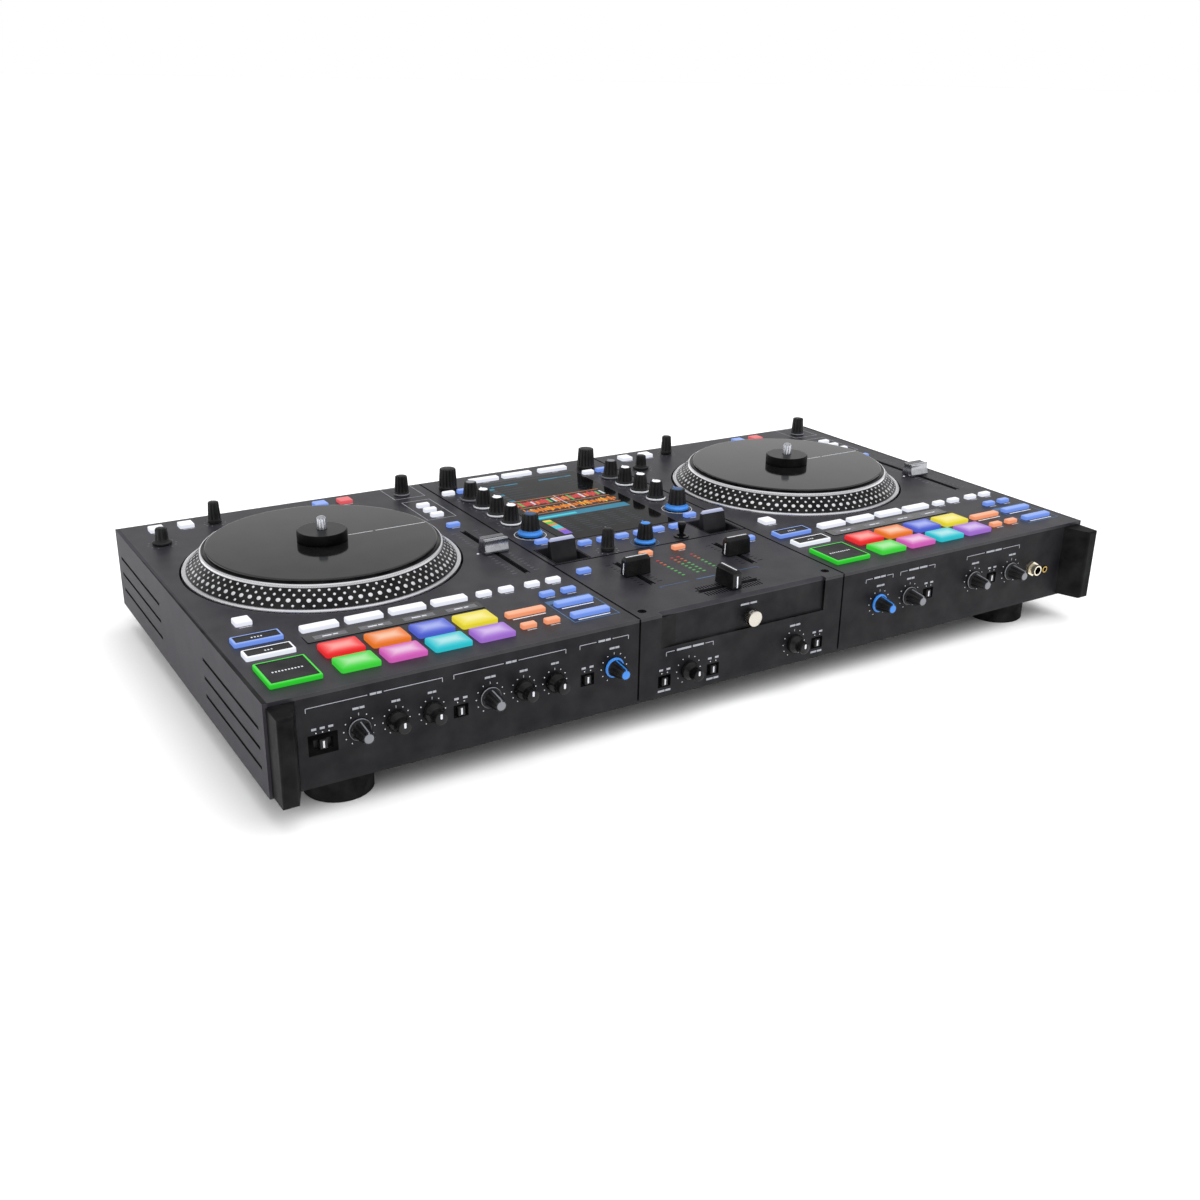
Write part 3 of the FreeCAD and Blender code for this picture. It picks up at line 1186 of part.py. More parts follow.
def plate_screw(x, y):
    seat = TOP - SCREW_HEAD_HEIGHT
    head = rod(x, y, SCREW_HEAD, seat, TOP)
    socket = rod(x, y, SCREW_SOCKET, TOP - SCREW_SOCKET_DEPTH, TOP + OVER)
    return head.fuse(rod(x, y, SCREW_SHANK, UNDER_TOP - SCREW_LENGTH, seat)).cut(socket)


def lower_case():
    """Bottom sheet folded up into the rear wall, with the two posts that carry the fader plate."""
    sheet = block(0, 0, WIDTH - 2 * SIDE_THICKNESS, CASE_DEPTH, FOOT_HEIGHT, FLOOR)
    posts = [rod(x, y, POST_RADIUS, FLOOR, UNDER_TOP) for x, y in PLATE_SCREWS_AT]
    radius = SCREW_SHANK + BORE_RUN
    cuts = []
    for places in post_places().values():
        cuts += [rod(x, y, radius, FOOT_HEIGHT - OVER, FLOOR + OVER) for x, y in places]
    for x, y in PLATE_SCREWS_AT:
        cuts.append(rod(x, y, radius, UNDER_TOP - SCREW_LENGTH - SCREW_END_ROOM, UNDER_TOP + OVER))
    return sheet.fuse([rear_wall()] + posts).removeSplitter().cut(cuts)


def foot(x, y):
    shape = turned([(0, 0), (FOOT_RADIUS - EDGE, 0), (FOOT_RADIUS, EDGE), (FOOT_RADIUS, FOOT_HEIGHT),
                    (0, FOOT_HEIGHT)])
    return moved(shape, x, y)


def save_case():
    feet_x = HALF_WIDTH - FOOT_INSET_X
    feet_y = HALF_DEPTH - FOOT_INSET_Y
    wing = HALF_WIDTH - SIDE_THICKNESS
    save("lower_case", lower_case())
    save("side_panels", [side_panel(-1), side_panel(1)])
    save("front_panels", [front_panel(-wing, -HALF_CENTRE - SEAM / 2),
                          front_panel(-HALF_CENTRE + SEAM / 2, HALF_CENTRE - SEAM / 2, centre=True),
                          front_panel(HALF_CENTRE + SEAM / 2, wing)])
    save("deck_plates", [deck_plate("left"), deck_plate("right")])
    save("label_strips", [label_strip("left"), label_strip("right")])
    save("mixer_plate", mixer_plate())
    save("fader_plate", fader_plate())
    save("corner_grips", [grip(-1), grip(1)])
    save("feet", [foot(x, y) for x in (-feet_x, feet_x) for y in (-feet_y, feet_y)])
    save("touch_screen", screen())
    save("platter_motors", [motor("left"), motor("right")])
    save("circuit_boards", deck_boards("left") + deck_boards("right") + mixer_boards()
         + front_boards() + inner_works())
    save("connectors", rear_sockets() + [on_front(big_jack(), *BIG_JACK_AT),
                                         on_front(small_jack(), *SMALL_JACK_AT)])
    screws = [bottom_screw(x, y) for places in post_places().values() for x, y in places]
    save("screws", screws + [plate_screw(x, y) for x, y in PLATE_SCREWS_AT])


def save_deck(side):
    x = DECKS[side]
    save("platter_" + side, platter(side))
    save("disc_" + side, disc(side))
    save("adapter_" + side, adapter(side))
    flared, slim, encoder = deck_knob_places(x)
    save("pitch_fader_" + side, moved(pitch_cap(), *pitch_place(x), TOP))
    save("flared_knob_" + side, moved(FLARED_KNOB, *flared, TOP))
    save("slim_knob_" + side, moved(SLIM_KNOB, *slim, TOP))
    save("rear_encoder_" + side, moved(REAR_ENCODER, *encoder, TOP))
    save("pads_" + side, [button(px, py, size, PAD_HEIGHT, PAD_ROUND) for px, py, size in pad_list(x)])
    save("deck_buttons_" + side, [button(px, py, size) for px, py, size in deck_button_list(x)])


def save_mixer():
    for side, sign in (("left", -1), ("right", 1)):
        for use, y in zip(KNOB_ROW_NAMES, KNOB_ROWS_AT):
            save(use + "_knob_" + side, moved(STRIP_KNOB, sign * KNOB_COLUMN_AT, y, TOP))
        place = BROWSE_AT[0] if side == "left" else BROWSE_AT[1]
        save("browse_encoder_" + side, moved(BROWSE_KNOB, place[0], place[1], TOP))
        save("effect_paddle_" + side, paddle(sign * PADDLE_AT[0]))
        save("channel_fader_" + side,
             moved(fader_cap(), sign * CHANNEL_AT[0], CHANNEL_AT[1] + CHANNEL_REST, TOP))
    cross = fader_cap()
    cross.rotate(V(0, 0, 0), V(0, 0, 1), 90)
    save("crossfader", moved(cross, 0, CROSS_AT, TOP))
    save("effect_depth_knob", moved(STRIP_KNOB, *DEPTH_AT, TOP))
    save("cue_mix_knob", moved(SLIM_KNOB, *SLIM_CENTRE_AT, TOP))
    save("toggle_lever", toggle_lever())
    buttons = mixer_button_list() + fader_plate_button_list()
    save("mixer_buttons", [button(x, y, size) for x, y, size in buttons])


def save_front():
    for name, (x, down) in zip(FRONT_KNOB_NAMES, FRONT_LEVELS_AT):
        save(name, on_front(LEVEL_KNOB, x, down))
    others = [on_front(LEVEL_KNOB, x, down) for x, down in FRONT_LEVELS_AT[len(FRONT_KNOB_NAMES):]]
    others += [on_front(TONE_KNOB, x, down) for x, down in FRONT_TONES_AT + CONTOURS_AT]
    save("front_trim_knobs", others)
    save("fader_tension_knob", tension_knob())
    keys = [on_front(switch_key(), x, down) for x, down in SWITCHES_AT]
    save("slide_switches", keys + [on_rear(switch_key(), POWER_AT, SOCKET_DROP)])


def main():
    save_case()
    for side in DECKS:
        save_deck(side)
    save_mixer()
    save_front()


main()
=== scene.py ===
from math import atan2, cos, hypot, pi, radians, sin

import bmesh
import bpy
from mathutils import Matrix, Vector


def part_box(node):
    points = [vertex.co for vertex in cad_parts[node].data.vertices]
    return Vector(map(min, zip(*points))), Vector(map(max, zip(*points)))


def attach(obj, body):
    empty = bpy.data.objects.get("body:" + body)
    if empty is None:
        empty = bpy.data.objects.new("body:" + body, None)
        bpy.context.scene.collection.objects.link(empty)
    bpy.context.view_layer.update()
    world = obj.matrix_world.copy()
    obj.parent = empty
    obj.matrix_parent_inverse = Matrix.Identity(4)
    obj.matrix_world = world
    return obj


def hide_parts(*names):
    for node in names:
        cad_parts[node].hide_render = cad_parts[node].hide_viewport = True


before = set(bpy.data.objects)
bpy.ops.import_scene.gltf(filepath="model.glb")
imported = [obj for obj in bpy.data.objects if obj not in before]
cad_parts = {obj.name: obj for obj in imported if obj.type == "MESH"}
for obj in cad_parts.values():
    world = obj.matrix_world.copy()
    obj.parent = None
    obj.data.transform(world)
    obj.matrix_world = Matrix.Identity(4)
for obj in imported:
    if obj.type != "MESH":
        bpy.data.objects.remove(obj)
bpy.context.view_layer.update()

# Driving sizes, in millimetres from the middle of the case; the frame gives the case's own faces
MM = 0.001
SIDE_LOW, SIDE_HIGH = (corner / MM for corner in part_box("side_panels"))
SHIFT_Y = (SIDE_LOW.y + SIDE_HIGH.y) / 2
HALF_WIDTH = SIDE_HIGH.x
FRONT = SIDE_LOW.y - SHIFT_Y
REAR = SIDE_HIGH.y - SHIFT_Y
TOP = SIDE_HIGH.z
HALF_CENTRE = 92.5
DECKS = {"left": -226.25, "right": 223.65}
SIDES = (("left", -1), ("right", 1))

# How far a printed mark stands out, how deep a key reaches into its hole, and the offset and width of the
# painted shade lines beside the seams
PRINT = 0.08
SUNK = 0.4
SEAM_SHADE_OFFSET = 0.5
SEAM_SHADE_WIDTH = 0.4


def srgb(red, green, blue):
    """Linear colour from the usual 0 to 255 values."""
    found = []
    for value in (red, green, blue):
        share = value / 255
        found.append(share / 12.92 if share <= 0.04045 else ((share + 0.055) / 1.055) ** 2.4)
    return (*found, 1.0)


def mixed(colour, other, share):
    return tuple(a + (b - a) * share for a, b in zip(colour, other))


WHITE = (1.0, 1.0, 1.0, 1.0)
BLACK = (0.0, 0.0, 0.0, 1.0)

# Materials: all have a cloudy colour, uneven roughness, and a fine grain whose height is in metres
LOOKS = {}
PLASTIC_IOR = 1.5
CLOUD_LIFT = 0.12
ROUGH_SPREAD = 0.15
GRAIN_HEIGHT = 0.0002


def add_node(nodes, kind, values):
    made = nodes.new("ShaderNode" + kind)
    for socket, value in values.items():
        made.inputs[socket].default_value = value
    return made


def add_ramp(tree, source, target, stops):
    """Colours between two sockets, through stops of place and colour."""
    ramp = tree.nodes.new("ShaderNodeValToRGB")
    elements = ramp.color_ramp.elements
    for element, (at, colour) in zip(elements, (stops[0], stops[-1])):
        element.position, element.color = at, colour
    for at, colour in stops[1:-1]:
        elements.new(at).color = colour
    tree.links.new(source, ramp.inputs["Fac"])
    tree.links.new(ramp.outputs["Color"], target)


def look(name, colour, rough, spread, shine_level=0.5, bump=0.06, grain=1500.0, metal=0.0, scale=60.0,
         coat=0.0, coat_rough=0.05, glow=None, edge_glow=None, strength=0.0):
    """Make a material; glow and edge_glow are the light from within, in the middle and at the edge."""
    material = bpy.data.materials.new(name)
    material.use_nodes = True
    tree = material.node_tree
    nodes, link = tree.nodes, tree.links.new
    shader = nodes["Principled BSDF"]
    for socket, value in (("Metallic", metal), ("IOR", PLASTIC_IOR), ("Specular IOR Level", shine_level),
                          ("Coat Weight", coat), ("Coat Roughness", coat_rough)):
        shader.inputs[socket].default_value = value
    place = nodes.new("ShaderNodeTexCoord").outputs["Object"]
    cloud = add_node(nodes, "TexNoise", {"Scale": scale, "Detail": 4.0})
    link(place, cloud.inputs["Vector"])
    add_ramp(tree, cloud.outputs["Fac"], shader.inputs["Base Color"],
             [(0.3, mixed(colour, BLACK, spread)), (0.7, mixed(colour, WHITE, spread * CLOUD_LIFT))])
    fine = add_node(nodes, "TexNoise", {"Scale": grain, "Detail": 2.0})
    link(place, fine.inputs["Vector"])
    shine = add_node(nodes, "MapRange", {"To Min": rough * (1 - ROUGH_SPREAD),
                                         "To Max": min(1.0, rough * (1 + ROUGH_SPREAD))})
    link(fine.outputs["Fac"], shine.inputs["Value"])
    link(shine.outputs["Result"], shader.inputs["Roughness"])
    raised = add_node(nodes, "Bump", {"Strength": bump, "Distance": GRAIN_HEIGHT})
    link(fine.outputs["Fac"], raised.inputs["Height"])
    link(raised.outputs["Normal"], shader.inputs["Normal"])
    if glow:
        depth = nodes.new("ShaderNodeAttribute")
        depth.attribute_name = "glow"
        add_ramp(tree, depth.outputs["Fac"], shader.inputs["Emission Color"],
                 [(0.0, edge_glow), (1.0, glow)])
        shader.inputs["Emission Strength"].default_value = strength
    LOOKS[name] = material


def lamp(name, middle, edge, strength=0.78):
    """Translucent plastic lit from behind, from its edge colour to its middle colour."""
    look(name, mixed(srgb(*edge), BLACK, 0.82), 0.4, 0.05, 0.3, 0.03, glow=srgb(*middle),
         edge_glow=srgb(*edge), strength=strength)


# Name, colour, roughness, cloudiness, then shine, height of the grain and its fineness
PLAIN_LOOKS = [
    ("top_paint", (33, 32, 38), 0.42, 0.08, 0.38, 0.2, 2600),
    ("front_paint", (15, 15, 19), 0.5, 0.08, 0.16, 0.2, 2600),
    ("under_paint", (17, 17, 20), 0.5, 0.06, 0.18, 0.3, 2200),
    ("side_metal", (54, 52, 58), 0.5, 0.06, 0.08, 0.2, 3000),
    # Painted shade: the next row darkens the faces inside the side grooves and on the slanted recess ramp
    ("groove_dark", (16, 16, 18), 0.6, 0.1, 0.1),
    # Painted shade: the next row blackens the recess walls under the fader plate and the screws in its
    # dimples
    ("seam_dark", (4, 4, 5), 0.7, 0.12, 0.0),
    ("grip_plastic", (5, 5, 7), 0.5, 0.1, 0.07, 0.35, 1800),
    ("foot_rubber", (7, 7, 9), 0.8, 0.15, 0.08, 0.5, 1200),
    ("puck_black", (6, 6, 7), 0.3, 0.05, 0.3, 0.02),
    # Painted shade: the puck's side is a darker, less shiny copy of its top's black
    ("puck_side", (3, 3, 4), 0.35, 0.05, 0.05, 0.02),
    ("screen_black", (3, 3, 4), 0.08, 0.05, 0.07, 0.0),
    ("disc_vinyl", (12, 12, 13), 0.09, 0.05, 0.5, 0.0),
    ("mat_felt", (8, 8, 9), 0.95, 0.3, 0.1, 0.6, 2500),
    ("cap_black", (9, 9, 10), 0.42, 0.12, 0.25, 0.1, 1800),
    ("cap_gloss", (6, 6, 7), 0.2, 0.1, 0.22, 0.03, 1800),
    ("lever_black", (12, 12, 16), 0.4, 0.1, 0.22, 0.08, 1800),
    ("knob_rubber", (8, 8, 11), 0.45, 0.12, 0.3, 0.3, 2200),
    ("platter_dark", (5, 5, 7), 0.3, 0.1, 0.2),
    ("white_plastic", (236, 238, 244), 0.4, 0.04),
    ("grey_plastic", (118, 120, 126), 0.45, 0.08),
    ("blue_plastic", (40, 122, 208), 0.32, 0.08),
    ("blue_shade", (22, 60, 104), 0.36, 0.08),
    ("red_plastic", (150, 26, 28), 0.4, 0.08),
    ("print_white", (206, 208, 214), 0.6, 0.05),
    ("print_grey", (156, 158, 166), 0.6, 0.05),
    ("print_faint", (108, 110, 118), 0.6, 0.05),
    ("print_dusk", (66, 96, 132), 0.55, 0.05),
    ("print_black", (2, 2, 3), 0.9, 0.05, 0.0),
    ("strip_grey", (92, 92, 97), 0.3, 0.05),
]
for name, colour, *rest in PLAIN_LOOKS:
    look(name, srgb(*colour), *rest)

# Name, colour, roughness, cloudiness, height of the grain and metalness
METAL_LOOKS = [
    ("platter_bright", (240, 240, 244), 0.28, 0.05, 0.02, 1.0),
    ("platter_inner", (90, 91, 95), 0.4, 0.1, 0.06, 0.9),
    ("dot_bright", (226, 226, 230), 0.3, 0.05, 0.0, 0.75),
    ("chrome", (186, 188, 194), 0.12, 0.03, 0.0, 1.0),
    ("nickel", (206, 200, 190), 0.26, 0.05, 0.02, 1.0),
    ("pale_gold", (226, 218, 198), 0.24, 0.05, 0.02, 0.9),
    ("brass", (196, 164, 92), 0.24, 0.05, 0.02, 1.0),
    ("steel", (120, 122, 126), 0.35, 0.12, 0.06, 0.9),
    ("dark_steel", (46, 47, 50), 0.4, 0.12, 0.06, 0.6),
]
for name, colour, rough, spread, bump, metal in METAL_LOOKS:
    look(name, srgb(*colour), rough, spread, bump=bump, metal=metal)

look("brushed", srgb(178, 179, 184), 0.2, 0.2, metal=1.0, scale=240.0, bump=0.05)
look("board_green", srgb(24, 70, 44), 0.45, 0.2, scale=120.0)
look("black_gloss", srgb(6, 6, 7), 0.07, 0.05, bump=0.0, coat=0.6, coat_rough=0.03)
lamp("lit_white", (252, 252, 254), (222, 225, 236), 0.9)
lamp("lit_blue", (154, 182, 248), (110, 146, 234))
lamp("lit_orange", (254, 186, 150), (244, 152, 110))
lamp("lit_red", (240, 124, 128), (222, 88, 94))
lamp("lit_green", (74, 236, 70), (34, 196, 38))
lamp("lit_lever", (216, 220, 240), (140, 146, 186))
lamp("pad_red", (255, 194, 186), (238, 38, 44))
lamp("pad_orange", (253, 222, 196), (234, 120, 38))
lamp("pad_blue", (190, 200, 250), (78, 96, 206))
lamp("pad_yellow", (252, 244, 176), (232, 216, 52))
lamp("pad_green", (196, 244, 186), (58, 208, 56))
lamp("pad_pink", (244, 222, 238), (208, 92, 182))
lamp("pad_cyan", (206, 240, 240), (38, 194, 206))
lamp("pad_purple", (228, 208, 244), (160, 108, 206))
lamp("meter_green", (96, 190, 96), (70, 150, 70), 0.65)
lamp("meter_orange", (216, 112, 54), (176, 84, 36), 0.65)
lamp("meter_red", (214, 50, 66), (170, 34, 48), 0.65)


# Pieces
def add_object(name, data):
    made = bpy.data.objects.new(name, data)
    bpy.context.scene.collection.objects.link(made)
    return made


class Piece:
    """One visible object, built in millimetres; node is the CAD node that it stands for."""

    def __init__(self, name, body, slot, node=None):
        self.name, self.body, self.slot, self.node = name, body, slot, node
        self.mesh = bmesh.new()
        self.depth = self.mesh.verts.layers.float.new("glow")
        self.looks = []

    def face(self, corners, name):
        if name not in self.looks:
            self.looks.append(name)
        made = self.mesh.faces.new(corners)
        made.material_index = self.looks.index(name)
        made.smooth = True

    def stack(self, place, rings, looks, glow=None):
        """Closed body through the rings; looks is one name, or one for each band and the top."""
        if isinstance(looks, str):
            looks = [looks] * len(rings)
        made = []
        for number, ring in enumerate(rings):
            corners = [self.mesh.verts.new(place @ Vector(point)) for point in ring]
            for corner in corners:
                corner[self.depth] = glow[number] if glow else 0.0
            made.append(corners)
        count = len(rings[0])
        for number, (low, high) in enumerate(zip(made, made[1:])):
            for i in range(count):
                after = (i + 1) % count
                self.face((low[i], low[after], high[after], high[i]), looks[number])
        self.face(made[0][::-1], looks[0])
        self.face(made[-1], looks[-1])

    def lathe(self, place, profile, looks, segments=48, flutes=None):
        """Turned body; flutes is (count, depth, first point, last point) of the profile."""
        rings = []
        for number, (radius, height) in enumerate(profile):
            ring = []
            for i in range(segments):
                angle = 2 * pi * i / segments
                reach = radius
                if flutes and flutes[2] <= number <= flutes[3]:
                    reach -= flutes[1] * (0.5 - 0.5 * cos(flutes[0] * angle)) ** 2
                ring.append((reach * cos(angle), reach * sin(angle), height))
            rings.append(ring)
        self.stack(place, rings, looks)

    def tube(self, place, profile, looks, segments=96):
        """Turned body round a hole: the profile runs once round its section."""
        made = []
        for i in range(segments):
            angle = 2 * pi * i / segments
            spoke = Vector((cos(angle), sin(angle), 0))
            made.append([self.mesh.verts.new(place @ (spoke * r + Vector((0, 0, z)))) for r, z in profile])
        if isinstance(looks, str):
            looks = [looks] * len(profile)
        for i in range(segments):
            here, there = made[i], made[(i + 1) % segments]
            for k in range(len(profile)):
                after = (k + 1) % len(profile)
                self.face((here[k], there[k], there[after], here[after]), looks[k])

    def box(self, place, low, high, name):
        """Small square bar between two corners."""
        rings = [[(low[0], low[1], z), (high[0], low[1], z), (high[0], high[1], z), (low[0], high[1], z)]
                 for z in (low[2], high[2])]
        self.stack(place, rings, name)

    def bar(self, x, y, width, depth, name, turn=0.0, high=PRINT):
        """Flat mark on the top surface."""
        place = on_top(x, y, 0.0, turn)
        self.box(place, (-width / 2, -depth / 2, -PRINT), (width / 2, depth / 2, high), name)

    def done(self, crease=33.0):
        """Turn the shape into an object on its body, with sharp edges above the crease angle."""
        bmesh.ops.recalc_face_normals(self.mesh, faces=self.mesh.faces)
        self.mesh.transform(Matrix.Scale(MM, 4))
        mesh = bpy.data.meshes.new(self.name)
        self.mesh.to_mesh(mesh)
        self.mesh.free()
        for name in self.looks:
            mesh.materials.append(LOOKS[name])
        mesh.set_sharp_from_angle(angle=radians(crease))
        made = add_object(self.name, mesh)
        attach(made, self.body)
        if self.node:
            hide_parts(self.node)


def moving(name, body, slot):
    """Piece that stands for the node of the same name as its body."""
    return Piece(name, body, slot, body)


def on_top(x, y, z=0.0, turn=0.0):
    """Place on the top surface, measured from the middle of the case."""
    return Matrix.Translation((x, y + SHIFT_Y, TOP + z)) @ Matrix.Rotation(turn, 4, "Z")


def on_deck(middle, at):
    """Place on the top surface, measured from the middle of a deck."""
    return on_top(middle + at[0], at[1])


def on_front(x, down, out=0.0):
    """Place on the front wall, whose +Z stands out towards the user."""
    return Matrix.Translation((x, FRONT + SHIFT_Y - out, TOP - down)) @ Matrix.Rotation(pi / 2, 4, "X")


def on_rear(x, down):
    """Place on the rear wall, whose +Z stands out to the rear."""
    return Matrix.Translation((x, REAR + SHIFT_Y, TOP - down)) @ Matrix.Rotation(-pi / 2, 4, "X")


def rounded(width, depth, corner, z, inset=0.0, steps=5):
    """Ring of points round a rectangle with round corners."""
    radius = max(corner - inset, 0.05)
    half_x = width / 2 - inset - radius
    half_y = depth / 2 - inset - radius
    ring = []
    for quarter, (sx, sy) in enumerate(((1, 1), (-1, 1), (-1, -1), (1, -1))):
        for i in range(steps):
            angle = pi / 2 * (quarter + i / (steps - 1))
            ring.append((sx * half_x + radius * cos(angle), sy * half_y + radius * sin(angle), z))
    return ring


def slab(piece, place, size, corner, levels, looks, glow=None):
    """Stack of rounded rectangles; levels are pairs of inset and height."""
    rings = [rounded(size[0], size[1], corner, z, inset) for inset, z in levels]
    piece.stack(place, rings, looks, glow)


# Buttons and pads: (x, y, size, light), from the middle of a deck or of the mixer
BUTTON_HIGH = 3.0
PAD_HIGH = 3.3
BUTTON_CORNER = 1.2
PAD_CORNER = 2.0
SMALL = (11.1, 5.8)
SQUARE = (11.6, 11.6)
LONG = (29.9, 6.8)
WIDE = (33.0, 12.7)
START = (34.0, 34.7)
MODE = (26.3, 8.1)
PAD = (26.8, 19.7)
REAR_LONG = (29.5, 7.0)
PAD_COLUMNS = [-63.4, -31.3, 0.8, 32.9]
PAD_ROWS = [-157.2, -131.2]
PAD_LIGHTS = [["green", "pink", "cyan", "purple"], ["red", "orange", "blue", "yellow"]]
MODE_Y = -90.6
DECK_BUTTONS = [
    (-105.6, -57.2, SQUARE, "white"), (-105.6, 165.0, SQUARE, "white"), (-81.9, 165.0, SQUARE, "white"),
    (33.1, 165.0, SQUARE, "blue"), (55.1, 165.0, SQUARE, "red"), (60.2, -90.9, SMALL, "white"),
    (78.2, -90.9, SMALL, "white"), (99.7, -90.9, SMALL, "white"), (117.4, -90.9, SMALL, "white"),
    (99.7, -113.2, SMALL, "blue"), (117.4, -113.2, SMALL, "blue"), (60.2, -157.7, SMALL, "orange"),
    (78.4, -157.7, SMALL, "orange"), (109.0, 120.3, SMALL, "white"), (109.0, 106.1, SMALL, "white"),
    (109.0, 91.9, SMALL, "white"), (109.0, 60.5, SMALL, "blue"), (69.5, -135.9, LONG, "orange"),
    (109.0, -134.9, LONG, "blue"), (109.0, -157.7, LONG, "blue"),
]
RIMMED_BUTTONS = [(-106.2, -90.4, WIDE, "blue", 4), (-106.2, -114.6, WIDE, "white", 3),
                  (-105.9, -149.7, START, "green", 10)]
DASH_STEP = 2.1
MIXER_BUTTONS = [
    (-36.5, 164.6, REAR_LONG, "white"), (-2.0, 164.6, REAR_LONG, "white"),
    (36.0, 164.6, REAR_LONG, "white"), (-83.0, 141.3, SMALL, "white"), (76.4, 141.8, SMALL, "blue"),
    (-68.3, 141.8, SMALL, "blue"), (61.0, 140.2, SMALL, "white"), (-74.0, -11.3, SMALL, "blue"),
    (70.5, -11.8, SMALL, "blue"), (-16.4, -75.4, SMALL, "orange"), (14.7, -75.2, SMALL, "orange"),
    (-79.0, -85.3, SMALL, "blue"), (76.8, -85.3, SMALL, "blue"),
] + [(-45.1 + 17.6 * i, -30.4, SMALL, "blue") for i in range(6)]


def lit_button(piece, x, y, size, light):
    """Rounded key whose light shows through its top."""
    high = BUTTON_HIGH
    levels = [(0, -SUNK), (0, high - 0.9), (0.1, high - 0.45), (0.4, high - 0.1), (0.9, high),
              (1.7, high + 0.02), (2.5, high + 0.03)]
    slab(piece, on_top(x, y), size, BUTTON_CORNER, levels, "lit_" + light, [0, 0.1, 0.3, 0.7, 0.9, 1, 1])


def rimmed_button(piece, x, y, size, light, dashes):
    """Large dark key with lit sides and a lit rim round its sunk top."""
    high = BUTTON_HIGH
    levels = [(0, -SUNK), (0, high - 0.8), (0.15, high - 0.3), (0.5, high), (1.5, high), (1.8, high - 0.3),
              (2.4, high - 0.35)]
    looks = ["lit_" + light] * 4 + ["cap_black"] * 2 + ["lever_black"]
    slab(piece, on_top(x, y), size, BUTTON_CORNER, levels, looks, [0, 0.1, 0.5, 1, 1, 0, 0])
    for i in range(dashes):
        at = DASH_STEP * (i - (dashes - 1) / 2)
        piece.box(on_top(x + at, y, high), (-0.55, -0.8, -0.45), (0.55, 0.8, -0.28), "print_white")


def pad(piece, x, y, light):
    """Soft pad, brightest in its middle, with a crowned top."""
    high = PAD_HIGH
    levels = [(0, -SUNK), (0, high - 0.9), (0.15, high - 0.4), (0.5, high - 0.1), (1.2, high),
              (2.6, high + 0.02), (4.4, high + 0.04), (6.4, high + 0.05), (8.6, high + 0.06)]
    slab(piece, on_top(x, y), PAD, PAD_CORNER, levels, "pad_" + light,
         [0, 0, 0, 0, 0.04, 0.14, 0.36, 0.64, 0.86])


def deck_keys(side):
    middle = DECKS[side]
    keys = moving("deck_keys_" + side, "deck_buttons_" + side, "lit_white")
    for x, y, size, light in DECK_BUTTONS:
        lit_button(keys, middle + x, y, size, light)
    for x in PAD_COLUMNS:
        lit_button(keys, middle + x, MODE_Y, MODE, "white")
    for x, y, size, light, dashes in RIMMED_BUTTONS:
        rimmed_button(keys, middle + x, y, size, light, dashes)
    keys.done()
    pads = moving("play_pads_" + side, "pads_" + side, "pad_rubber")
    for y, lights in zip(PAD_ROWS, PAD_LIGHTS):
        for x, light in zip(PAD_COLUMNS, lights):
            pad(pads, middle + x, y, light)
    pads.done()


def mixer_keys():
    keys = moving("mixer_keys", "mixer_buttons", "lit_white")
    for x, y, size, light in MIXER_BUTTONS:
        lit_button(keys, x, y, size, light)
    keys.done()


# Knobs: radius at the foot and at the top, height, radius and height of the foot ring, flutes
STRIP_KNOB = (6.8, 5.3, 16.4, 8.6, 3.8, 12)
BLUE_KNOB = (7.9, 6.4, 18.2, 10.4, 5.2, 12)
BROWSE_KNOB = (8.2, 7.2, 20.0, 8.4, 4.2, 16)
SLIM_KNOB = (5.3, 4.4, 18.2, 5.6, 3.8, 10)
FLARED_KNOB = (5.2, 4.6, 13.2, 7.6, 4.0, 8)
REAR_KNOB = (6.3, 5.3, 17.5, 7.0, 3.4, 12)
LEVEL_KNOB = (6.0, 4.3, 15.7, 7.4, 2.4, 10)
TONE_KNOB = (7.2, 4.4, 13.7)

# Places of the knobs, from the middle of a deck or of the mixer
FLARED_AT = (-110.0, 130.0)
SLIM_AT = (-59.0, 162.0)
ENCODER_AT = (106.9, 160.5)
BROWSE_AT = {"left": (-77.0, 154.6), "right": (67.0, 154.4)}
DEPTH_AT = (-0.6, -50.4)
CUE_MIX_AT = (-37.3, -52.4)
KNOB_COLUMN = 72.4
KNOB_ROWS = [("trim", 118.5, "grey_plastic"), ("high", 93.7, "white_plastic"),
             ("mid", 68.4, "white_plastic"), ("low", 43.0, "white_plastic"),
             ("filter", 10.1, "blue_plastic")]
FILTER_Y = KNOB_ROWS[-1][1]


def knob(piece, place, kind, ring="grey_plastic", cap="grey_plastic", high_ring=False):
    """Fluted knob with a coloured foot ring, a black body and a coloured cap."""
    base, top, height, skirt, skirt_high, flutes = kind
    low = 0.6
    profile = [(skirt - 0.3, low), (skirt, low + 0.3), (skirt, low + skirt_high * 0.35),
               (skirt - 0.25, low + skirt_high * 0.35 + 0.25), (base + 0.5, skirt_high * 0.75),
               (base + 0.15, skirt_high), (base, skirt_high + 0.3),
               ((base + top) / 2, (skirt_high + height) / 2), (top, height - 0.7), (top - 0.25, height - 0.2),
               (top - 0.7, height), (top * 0.72, height), (top * 0.7, height + 0.2),
               (top * 0.62, height + 0.3), (top * 0.3, height + 0.32)]
    slope = ring if high_ring else "knob_rubber"
    looks = [ring] * 3 + [slope] * 2 + ["knob_rubber"] * 6 + [cap] * 4
    piece.lathe(place, profile, looks, segments=flutes * 8, flutes=(flutes, base * 0.13, 6, 9))


